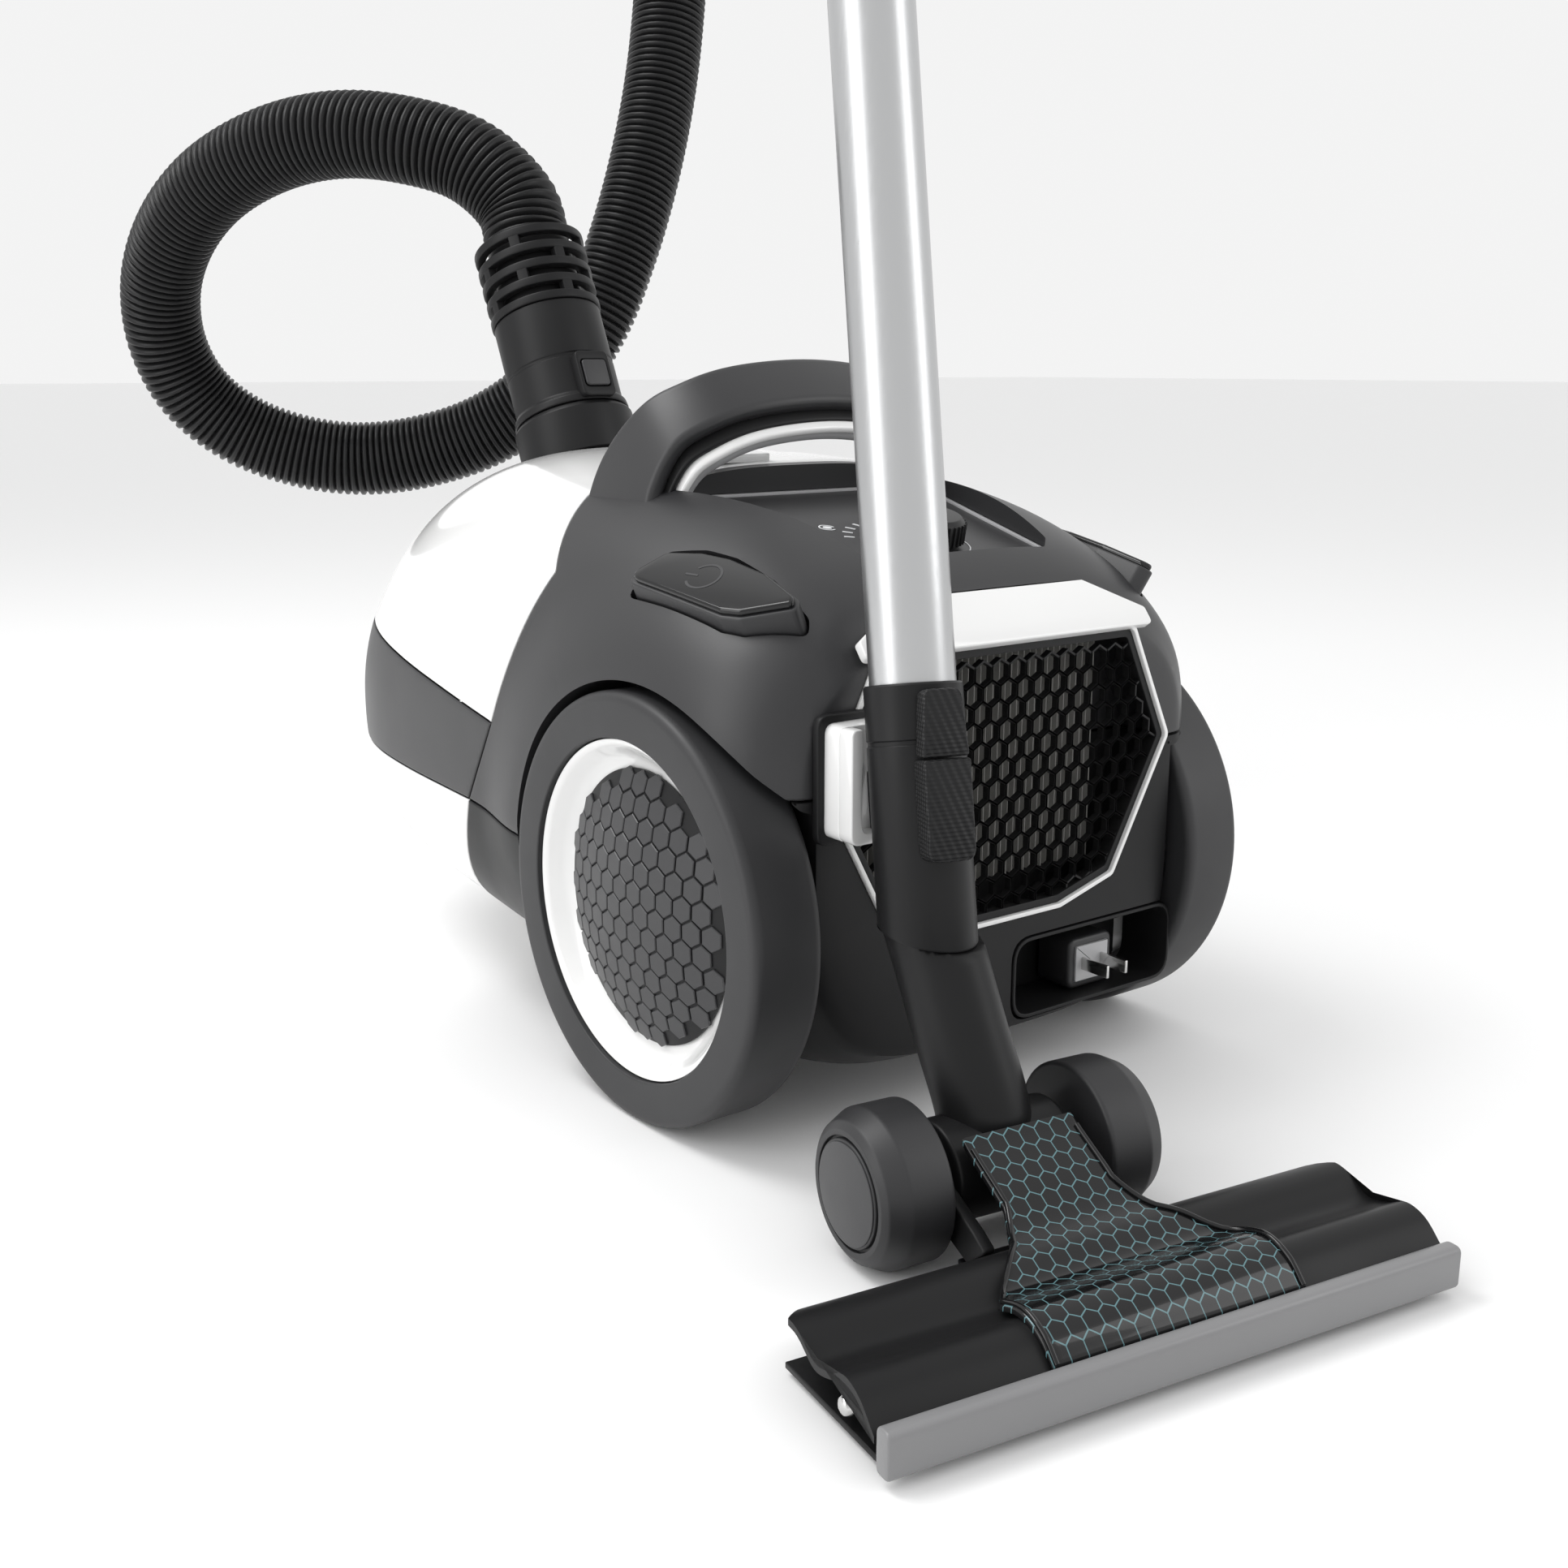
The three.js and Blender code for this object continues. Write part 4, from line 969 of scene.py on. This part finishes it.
# ---- Foot pedals --------------------------------------------------------------------
# Two glossy black rocker pedals, each on a lighter skirt, lie beside the deck. The left
# one carries a power mark and the right one a cord slot mark, both engraved and filled.
GLOSS = moulded("gloss_black_plastic", (0.006, 0.006, 0.0065), 0.12, (40, 3, 0.08, 0.07), coat=0.4)
MARK = (12.55, 12.75)
for side, body in ((-1, "power_pedal"), (1, "rewind_pedal")):
    skirt = plate(rounded(PEDAL, 6, 5), -12, 9.6)
    piece(f"{body}_skirt", pedal_place(skirt, side), GREY, body, body, bevel=1.0)
    cap = plate(rounded(grown(PEDAL, -1.6), 6, 6), 9.0, 12.6)
    piece(f"{body}_top", pedal_place(cap, side), GLOSS, body, body, bevel=1.4)
    if side < 0:
        mark = joined(arc_band(7.6, 8.8, 125, 415, *MARK), block((-0.6, 3.5, MARK[0]), (0.6, 10.5, MARK[1])))
    else:
        mark = joined(*[plate(oblong(-9, y - 0.8, 9, y + 0.8, 0.7), *MARK) for y in (-4, 0, 4)])
    mark = pedal_place(turned_to(mark, about("Z", 0.3), (0, 8, 0)), side)
    piece(f"{body}_mark", mark, CAP_PLASTIC, body, body)


# ---- Exhaust grille and dock --------------------------------------------------------
# A black honeycomb mesh in a thin white frame, with a pale pleated paper filter behind
# it. A folded white trim closes it above. The white parking dock is screwed over the
# mesh at the left, in a black surround.
PAPER = moulded("filter_paper", (0.3, 0.295, 0.28), 0.92, (5, 3, 0.1, 0.86), (0.7, 3, 0.06, 0.7))
MESH_PITCH = 10.6


def on_rear(shape):
    return turned_to(shape, FACING_REAR)


def wire_cell(radius, wall, depth):
    return ring_plate(hexagon(radius), hexagon(radius - wall), 0, depth)


opening = rounded(grown(GRILLE, -0.5), 5, 6)
inside = rounded(grown(GRILLE, -2.7), 4, 6)
frame_band = on_rear(ring_plate(opening, inside, 78, 89.2))
piece("grille_frame", frame_band, WHITE, "chassis", "grille_trim", bevel=0.5)
border = ring_plate(rounded(grown(GRILLE, -2.9), 4, 6), rounded(grown(GRILLE, -6.5), 3, 6), 80, 87.4)
piece("grille_border", on_rear(border), BLACK, "chassis", "exhaust_grille", bevel=0.4)
cells = [(x, z + 160) for x, z in honeycomb(MESH_PITCH, 130)]
kept = signed_distance(np.array(cells), grown(GRILLE, -3)) > MESH_PITCH * 0.3
cells = [(x, -83.0, z) for (x, z), keep in zip(cells, kept) if keep]
copies("grille_mesh", wire_cell(MESH_PITCH / math.sqrt(3) + 0.5, 1.1, 3.6), cells,
       [(math.pi / 2, 0, 0)] * len(cells), BLACK, "chassis", "exhaust_grille")
piece("grille_top_cover", top_trim(), WHITE, "chassis", "grille_top_trim", bevel=0.9)
pleat = plate([(-2, 0), (-0.25, 9), (0.25, 9), (2, 0), (2, -1), (-2, -1)], 104, 212)
pleats = [(x, -61, 0) for x in np.arange(-76, 76.1, 3.9)]
copies("filter_pleats", turned_to(pleat, about("Z", math.pi)), pleats, [(0, 0, 0)] * len(pleats), PAPER,
       "chassis", "exhaust_filter", crease=20)
piece("filter_back", block((-78, -60, 104), (78, -53, 212)), PAPER, "chassis", "exhaust_filter", bevel=0.6)


def dock_part(name, outline, low, high, finish, bevel):
    shape = on_rear(turned_to(plate(outline, low, high), None, (-96, 171.5, 0)))
    piece(name, shape, finish, "chassis", "park_dock", bevel=bevel)


dock_part("dock_surround", oblong(-17.5, -28, 17.5, 28, 6, 6), 87.6, 91.5, BLACK, 0.8)
dock_part("dock_base", oblong(-14, -24.5, 14, 24.5, 5, 6), 89.4, 101, WHITE, 0.8)
horns = rounded([(-14, -24.5), (14, -24.5), (14, 24.5), (7.2, 24.5), (7.2, -20), (-8, -20), (-8, 24.5),
                 (-14, 24.5)], [5, 5, 3, 1.5, 4, 4, 1.5, 3], 5)
dock_part("dock_horns", horns, 100.8, 109.4, WHITE, 0.9)


# ---- Mains plug ---------------------------------------------------------------------
# The reel's plug rests in its pocket at the right of the tub, showing a grey moulded
# body, a ridged grip and two bright flat prongs.
pocket = oblong(7, 37, 117, 77, 12, 6)
liner = on_rear(ring_plate(pocket, grown(pocket, -1.8), 58, 88.2))
piece("plug_pocket_rim", liner, BLACK, "chassis", "mains_plug", bevel=0.5)
plug_body = oblong(53, 40, 83, 66, 5, 6)
piece("plug_body", on_rear(plate(plug_body, 58, 80)), GREY, "chassis", "mains_plug", bevel=2.0)
plug_face = on_rear(plate(grown(plug_body, -4), 79, 81))
piece("plug_face", plug_face, LIGHT_GREY, "chassis", "mains_plug", bevel=0.7)
prongs = [block((x - 0.8, -98, 49.8), (x + 0.8, -78, 56.2)) for x in (61.5, 74.5)]
piece("plug_prongs", joined(*prongs), STEEL, "chassis", "mains_plug", bevel=0.35)


# ---- Hose inlet on the lid ----------------------------------------------------------
# A black socket ring holds the hose's swivelling cuff, which has a square release button
# on a raised flat. A springy slotted collar eases the hose out of the cuff.
def on_inlet(shape):
    return turned_to(shape, INLET_TURN, INLET)


socket = rounded([(24, -14), (36, -14), (36, 12), (34, 15), (27, 15), (24, 12)],
                 [0.5, 0.5, 1.5, 2, 2, 1.5], 4)
piece("inlet_socket", on_inlet(lathe(socket, 96, closed=True)), BLACK, "lid", "inlet_ring")
cuff = rounded([(24, 15.4), (35, 15.4), (34.4, 19.5), (32.5, 22), (32.5, 44), (31.9, 44.6), (31.9, 46),
                (32.5, 46.6), (32.5, 80), (24, 80)], [0.5, 1, 1.5, 2, 0.3, 0.3, 0.3, 0.3, 1.2, 0.5], 4)
piece("hose_cuff_body", on_inlet(lathe(cuff, 96, closed=True)), BLACK, "lid", "hose_cuff")
flat = ring_plate(oblong(-11, 16, 11, 44, 4, 6), oblong(-8.4, 21.6, 8.4, 38.4, 2.5, 6), 30, 37.8)
piece("cuff_flat", on_inlet(on_rear(flat)), BLACK, "lid", "hose_cuff", bevel=0.9)
button = plate(oblong(-8, 22, 8, 38, 2.5, 6), 36.2, 38.8)
piece("cuff_release", on_inlet(on_rear(button)), GREY, "cuff_button", "cuff_button", bevel=1.0)
spigot = oblong(22.5, 79, 25, 127.5, 0.5, 3)
piece("cuff_spigot", on_inlet(lathe(spigot, 72, closed=True)), HOSE_PLASTIC, "lid", "hose_cuff")
COLLAR_START, RING_PITCH, RING_HEIGHT = 80.3, 10.6, 5.1
for row in range(5):
    low = COLLAR_START + row * RING_PITCH
    wall = oblong(27.5, low, 33.5, low + RING_HEIGHT, 0.9, 3)
    piece(f"collar_ring_{row}", on_inlet(lathe(wall, 72, closed=True)), BLACK, "hose_collar", "hose_collar")
posts = [(row, 2 * math.pi * (k + (row % 2) / 2) / 4) for row in range(4) for k in range(4)]
post = plate(oblong(27.8, -3.2, 33.2, 3.2, 0.8, 3), 0, 6.4)
places, turns = [], []
for row, angle in posts:
    places.append(INLET + INLET_TURN @ (0, 0, COLLAR_START + 4.6 + row * RING_PITCH))
    turns.append(euler(INLET_TURN @ about("Z", angle)))
copies("collar_posts", post, places, turns, BLACK, "hose_collar", "hose_collar")


# ---- Wand ---------------------------------------------------------------------------
# Two satin aluminium tubes telescope in a black clamp. The lower cuff joins the elbow
# on a slanted face, hangs by its hook in the dock and carries a two-part knurled latch.
WAND_FOOT = np.array([-93, -127, 210.0])
WAND_AXIS = Vector((0.075, 0.202, 0.976)).normalized()
WAND_TURN = upright_to(WAND_AXIS)
SWIVEL_TILT, SWIVEL_AT = 0.32, -94
LATCH_TURN = math.radians(-107)
SIDEWAYS = np.array([(0, 0, 1), (1, 0, 0), (0, 1, 0)])
CLAMP_AT, GRIP_AT = 410, 480


def on_wand(shape, spin=0.0):
    return turned_to(turned_to(shape, about("Z", spin)), WAND_TURN, WAND_FOOT)


def satin_aluminium():
    finish = Finish("satin_aluminium", (0.52, 0.525, 0.53), 0.3, metallic=1.0)
    streaks = finish.noise(1000, 3.0, finish.place((900, 900, 14)))
    finish.vary("Roughness", streaks * 0.16 + 0.24)
    finish.bump(streaks, 0.01, 0.35)
    return finish.material


ALUMINIUM = satin_aluminium()


def cuff_sleeve():
    """The lower cuff: a sleeve whose foot is cut on the slanted joint plane."""
    turn = np.linspace(0, 2 * np.pi, 96, endpoint=False)
    slope = math.tan(SWIVEL_TILT)
    rings = []
    for r, h, cut in ((17.85, 6, 0), (19.2, 6, 0), (20, 5.2, 0), (20, -16, 0), (19.4, -16.6, 0),
                      (19.4, -18, 0), (20, -18.6, 0), (20, SWIVEL_AT + 1, 1), (19.4, SWIVEL_AT, 1),
                      (15, SWIVEL_AT, 1), (15, -70, 0), (17.85, -70, 0)):
        heights = np.full(96, float(h)) + cut * r * np.sin(turn) * slope
        rings.append(np.column_stack([r * np.cos(turn), r * np.sin(turn), heights]))
    return skin(rings, closed=True)


def knurl_plastic():
    finish = Finish("knurled_black_plastic", (0.012, 0.012, 0.0125), 0.38)
    x, y, z = finish.axes(finish.place((1000, 1000, 1000)))
    u, v = (x + y) * 0.7, z
    first = finish.node("ShaderNodeMath", {"operation": "SINE"})
    second = finish.node("ShaderNodeMath", {"operation": "SINE"})
    finish.tree.links.new(((u + v) * 1.9).socket, first.inputs[0])
    finish.tree.links.new(((u - v) * 1.9).socket, second.inputs[0])
    finish.bump(finish.out(first) * finish.out(second), 0.35, 0.8)
    finish.vary("Roughness", finish.noise(12, 2) * 0.1 + 0.34)
    return finish.material


KNURL = knurl_plastic()
piece("wand_cuff_sleeve", on_wand(cuff_sleeve()), BLACK, "wand", "wand_cuff")
hook = plate(oblong(-5, 19, 5, 27, 1.5, 4), -52, -28)
piece("wand_hook", on_wand(hook), BLACK, "wand", "wand_cuff", bevel=0.8)


def latch_block(outline, low, high):
    """An outline in (across, along the wand) given depth outwards from the cuff's side."""
    return turned_to(plate(outline, low, high), SIDEWAYS)


lower = latch_block(oblong(-10, -64, 10, -24.2, [5, 5, 1.5, 1.5], 6), 17.9, 29)
piece("latch_lower_block", on_wand(lower, LATCH_TURN), KNURL, "wand", "wand_cuff", bevel=2.4)
upper = latch_block(rounded([(-10, -23.4), (10, -23.4), (8, 3), (-8, 3)], [1.5, 1.5, 4, 4], 6), 20.4, 28)
piece("latch_upper_button", on_wand(upper, LATCH_TURN), KNURL, "wand_latch", "latch_button", bevel=2.0)


def pipe(outer, inner, low, high):
    return lathe(oblong(inner, low, outer, high, 0.4, 3), 96, closed=True)


piece("lower_wand_tube", on_wand(pipe(17.5, 16.3, -69.5, CLAMP_AT)), ALUMINIUM, "wand", "lower_tube")
piece("upper_wand_tube", on_wand(pipe(15.9, 14.7, 90, GRIP_AT - 0.3)), ALUMINIUM, "upper_wand", "upper_tube")
clamp = rounded([(17.8, 368), (22, 368), (25, 380), (25, 420), (21, 428), (16.2, 428), (16.2, 410.3),
                 (17.8, 410.3)], [0.5, 1.5, 3, 3, 2, 0.5, 0.3, 0.3], 4)
piece("clamp_sleeve", on_wand(lathe(clamp, 96, closed=True)), BLACK, "wand", "telescope_clamp")
window = ring_plate(oblong(-9, 384, 9, 418, 3, 5), oblong(-6.7, 386.5, 6.7, 415.5, 2, 5), 22, 26.6)
piece("clamp_window", on_wand(on_rear(window)), BLACK, "wand", "telescope_clamp", bevel=0.8)
slider = on_wand(on_rear(plate(oblong(-6.4, 394, 6.4, 415, 2, 5), 22.3, 28)))
piece("clamp_slider", slider, LIGHT_GREY, "telescope_button", "slider_button", bevel=1.2)
grip_line = smooth_line([(0, 0, 480), (0, 0, 515), (0, 6, 550), (0, 25, 588), (0, 52, 617), (0, 84, 640)], 12)
swell = np.interp(np.arange(len(grip_line)), [0, 5], [18.5, 20])
grip = on_wand(skin(round_rings(grip_line, swell, 64)))
piece("grip_body", grip, BLACK, "upper_wand", "hand_grip", crease=60)
vent = on_wand(on_rear(plate(oblong(-7, 522, 7, 541, 2, 5), 19, 21.8)))
piece("suction_vent_slider", vent, LIGHT_GREY, "suction_slider", "suction_slider", bevel=0.9)
sleeve = rounded([(0, 3.4), (22, 3.4), (30, 10), (30, 40), (0, 40)], [0, 1.5, 2.5, 1.5, 0], 5, closed=False)
sleeve = turned_to(lathe(sleeve, 96), upright_to((0, 0.81, 0.586)), (0, 84, 640))
piece("grip_collar_sleeve", on_wand(sleeve), BLACK, "grip_collar", "grip_collar")


# ---- Floor head ---------------------------------------------------------------------
# Two rubber rollers turn on the elbow's steel axle behind a low wave-shaped shell. A
# gloss cover with a fine hexagon pattern runs over it from the neck, and a light bumper
# strip guards the front edge.
HEAD_AXLE = np.array([-95, -180, 32.0])
HEAD_YAW = math.radians(-9)


def on_head(shape):
    return turned_to(shape, about("Z", HEAD_YAW), HEAD_AXLE)


def bar(outline, low, high):
    """An outline in (y, z) carried sideways between two x places."""
    return turned_to(plate(outline, low, high), SIDEWAYS)


def patterned_gloss():
    finish = Finish("hexagon_pattern_gloss", (0.006, 0.006, 0.0065), 0.16, coat=0.35)
    x, y, _ = finish.axes(finish.place((1 / 0.0072,) * 3, (0, 0, -HEAD_YAW)))
    row = math.sqrt(3)

    def to_edge(shift):
        """How far out in its cell a point is, for one of the two sets of cell rows."""
        u = abs((x + shift) % 1.0 - 0.5)
        v = abs((y + shift * row) % row - row / 2)
        return u.math("MAXIMUM", u * 0.5 + v * (row / 2))

    line = to_edge(0.0).math("MINIMUM", to_edge(0.5)) > 0.468
    finish.tint(line, (0.1, 0.2, 0.22))
    finish.vary("Roughness", finish.noise(40, 3) * 0.08 + 0.14)
    return finish.material


PATTERN = patterned_gloss()
for side, name in ((-1, "left"), (1, "right")):
    barrel = rounded([(4.4, 37), (32, 37), (32, 56), (28, 64), (25, 66), (22.6, 66), (22.6, 64), (21.4, 64),
                      (21.4, 66.4), (0, 66.4)], [0.4, 2, 4, 3, 1, 0.4, 0.3, 0.3, 0.8, 0], 5, closed=False)
    roller = sideways(lathe([(0, 37), *barrel], 96), side)
    piece(f"roller_{name}_barrel", on_head(roller), RUBBER, f"roller_{name}", f"roller_{name}")
    disc = rounded([(0, 66.2), (20.4, 66.2), (20.4, 67), (0, 67)], [0, 0.1, 0.5, 0], 3, closed=False)
    disc = on_head(sideways(lathe(disc, 72), side))
    piece(f"roller_{name}_cap", disc, CAP_PLASTIC, f"roller_{name}", f"roller_{name}")
rod = sideways(lathe([(0, -61), (4, -61), (4, 61), (0, 61)], 32))
piece("roller_axle_rod", on_head(rod), STEEL, "head", "roller_axle")

elbow_line = smooth_line([(0, 0, 0), (-1, 6, 22), (-4, 17, 48), (-7, 31, 80), (-8.6, 39.5, 96.5)], 10)
joint_normal = WAND_TURN @ about("X", SWIVEL_TILT) @ (0, 0, 1)
joint_at = WAND_TURN @ (0, 0, SWIVEL_AT - 0.8) + WAND_FOOT
vertices, faces = on_head(skin(round_rings(elbow_line, 19.0, 64)))
above = np.clip((vertices - joint_at) @ joint_normal, 0, None)
piece("elbow_tube", (vertices - above[:, None] * joint_normal, faces), BLACK, "elbow", "elbow", crease=50)
barrel = on_head(sideways(lathe(oblong(4.4, -28, 21, 28, 2, 5), 96, closed=True)))
piece("elbow_barrel", barrel, BLACK, "elbow", "elbow")

HEAD_WALL = 2.6
WAVE = smooth_line([(-40, -22, 0), (-50, -10, 0), (-60, -4.5, 0), (-68, -5, 0), (-80, -11, 0), (-90, -9, 0),
                    (-99, -5, 0), (-108, -7, 0), (-118, -16, 0)], 5)[:, :2]


def wave_shell():
    """The wave carried sideways, its rear corners drawn in."""
    under = (WAVE - (0, HEAD_WALL))[::-1]
    section, rings = np.vstack([WAVE, under]), []
    thickness = np.where(np.arange(len(section)) < len(WAVE), 0, HEAD_WALL)
    for x in np.concatenate([[-125, -124.2], np.linspace(-123, 123, 83), [124.2, 125]]):
        rear = -30 - max(abs(x) - 100, 0) * 38 / 40 - 8
        ys = np.minimum(section[:, 0], rear)
        zs = np.interp(-ys, -WAVE[:, 0], WAVE[:, 1]) - thickness
        rings.append(np.column_stack([np.full(len(section), x), ys, zs]))
    return skin(rings)


piece("wave_shell", on_head(wave_shell()), BLACK, "head", "head_shell", crease=40)
bumper = on_head(bar(oblong(-126.7, -28, -118.7, -11, 3, 6), -125, 125))
BUMPER_GREY = light_plastic("bumper_grey_plastic", 0.2)
piece("bumper", bumper, BUMPER_GREY, "head", "bumper_strip", bevel=1.2)
sole = ring_plate([(-121, -117), (121, -117), (121, -52), (-121, -52)],
                  [(-108, -88), (108, -88), (108, -68), (-108, -68)], -29.5, -27)
piece("sole", on_head(sole), BLACK, "head", "sole_plate", bevel=0.5)
wall = rounded([(-118, -28), (-40, -28), (-44, -20), (-60, -8), (-80, -14), (-100, -8.5), (-117, -18)], 3, 4)
walls = joined(*[bar(wall, x - 1, x + 1) for x in (-96, 96)])
piece("shell_walls", on_head(walls), BLACK, "head", "head_shell")
pin_half = [(0, 124), (3, 122.5), (4, 120), (3, 117.5), (2, 116.5)]
pin = rounded([(r, -x) for r, x in pin_half] + pin_half[::-1], [0, 1, 1, 1, 0.4, 0.4, 1, 1, 1, 0], 4,
              closed=False)
pin = turned_to(sideways(lathe(pin, 32)), None, (0, -94, -20))
piece("glide_rod", on_head(pin), STEEL, "head", "glide_axle")

COVER_TOP = smooth_line([(-18, 21.5, 0), (-23, 18, 0), (-40, 9, 0), (-56, 0.5, 0), (-68, -1.8, 0),
                         (-80, -6.5, 0), (-98, -1.8, 0), (-110, -5.5, 0), (-117.5, -12.5, 0)], 6)[:, :2]


def cover_half(y):
    return np.interp(-y, [18, 46, 62, 78, 86, 118], [26, 26, 34, 50, 56, 56])


def cover():
    """The gloss cover: its rise seen from the side, narrowing to the neck in plan."""
    rings = []
    for y, z in COVER_TOP:
        half = cover_half(y)
        xs = np.linspace(-half + 1.6, half - 1.6, 33)
        xs = np.concatenate([[-half, -half + 0.6], xs, [half - 0.6, half]])
        lift = np.array([-0.9, -0.2] + [0.0] * 33 + [-0.2, -0.9])
        top = np.column_stack([xs, np.full(37, y), z + lift])
        low = np.column_stack([xs[::-1], np.full(37, y), np.full(37, z - HEAD_WALL)])
        rings.append(np.vstack([top, low]))
    return skin(rings)


def cover_edge(side):
    """A raised bead along one edge of the cover."""
    line = [(side * (cover_half(y) - 1.6), y, z + 0.5) for y, z in COVER_TOP[6:]]
    return skin(round_rings(np.array(line), 1.1, 10))


piece("cover_plate", on_head(cover()), PATTERN, "head", "head_cover", crease=50)
piece("cover_beads", on_head(joined(cover_edge(-1), cover_edge(1))), GLOSS, "head", "head_cover", crease=60)
yoke = rounded([(9, -6), (6, 9), (-6, 9), (-40, -6), (-48, -10.5), (-36, -20), (-6, -9)],
               [3, 5, 5, 3, 1.5, 2, 3], 5)
yoke_sides = joined(bar(yoke, -35.1, -29.7), bar(yoke, 29.7, 35.1))
piece("neck_yoke", on_head(yoke_sides), BLACK, "head", "head_neck", bevel=0.9)
piece("neck_bridge", on_head(block((-35, -39, -24), (35, -30, -20.8))), BLACK, "head", "head_neck", bevel=0.6)


# ---- Caster and inside parts --------------------------------------------------------
# A small rubber caster carries the nose. Inside stand the sealed motor, its fan, the
# cord reel with the wound cord, and the paper dust bag, all plainly shaped.
stem = lathe([(0, 36), (17, 36), (17, 41), (6, 41), (6, 62), (0, 62)], 48)
arm = rounded([(-18, 11), (-6, 11), (9, 36.5), (-15, 36.5)], 2)
fork = turned_to(joined(stem, *[bar(arm, x - 2, x + 2) for x in (-11, 11)]), None, (0, 300, 0))
piece("caster_fork_body", fork, BLACK, "caster", "caster_fork")
tread = turned_to(sideways(lathe(oblong(3.3, -8, 17, 8, 2, 5), 64, closed=True)), None, (0, 288, 17))
piece("caster_tread", tread, RUBBER, "caster_wheel", "caster_wheel")
FACING_NOSE = FACING_REAR * (1, -1, -1)
can = rounded([(0, -38), (46, -38), (50, -32), (50, 60), (40, 70), (0, 70)], [0, 3, 3, 4, 4, 0], 4,
              closed=False)
piece("motor_can", turned_to(lathe(can, 64), FACING_NOSE, (0, 0, 185)), STEEL, "chassis", "motor_housing")
hub = lathe([(0, -7), (12, -7), (12, 7), (0, 7)], 32)
disc = lathe([(0, -7), (44, -7), (44, -5.5), (0, -5.5)], 64)
piece("fan_disc", turned_to(joined(hub, disc), FACING_NOSE, (0, 79, 185)), LIGHT_GREY, "fan", "fan_impeller")
blade = plate([(12, -0.7), (43, 8), (43, 9.4), (12, 0.7)], -6, 6.5)
BLADES = 12
angles = [euler(FACING_NOSE @ about("Z", 2 * math.pi * k / BLADES)) for k in range(BLADES)]
copies("fan_blades", blade, [(0, 79, 185)] * BLADES, angles, LIGHT_GREY, "fan", "fan_impeller")
spool = [(0, 50), (74, 50), (74, 53), (40, 53), (40, 97), (74, 97), (74, 100), (0, 100)]
piece("reel_spool", turned_to(lathe(spool, 72), None, (0, 34, 0)), BLACK, "reel", "cord_reel")
section = [(3.1 * math.cos(a), 3.1 * math.sin(a)) for a in np.linspace(0, 2 * math.pi, 8, endpoint=False)]
loops = [lathe(np.array(section) + (43.7 + 4.6 * layer, 57 + 6.6 * row), 48, closed=True)
         for layer in range(6) for row in range(6)]
piece("wound_cord_loops", turned_to(joined(*loops), None, (0, 34, 0)), RUBBER, "reel", "wound_cord")
bag_rings = []
turn = np.linspace(0, 2 * np.pi, 64, endpoint=False)
fold = 1 + 0.02 * np.cos(12 * turn)
for t in np.linspace(-math.pi / 2, math.pi / 2, 26):
    across = math.cos(t) * fold
    height = np.full(64, 166 + 60 * math.sin(t))
    bag_rings.append(np.column_stack([92 * across * np.cos(turn), 245 + 80 * across * np.sin(turn), height]))
piece("paper_bag", skin(bag_rings, cap=False), PAPER, "chassis", "dust_bag", crease=60)
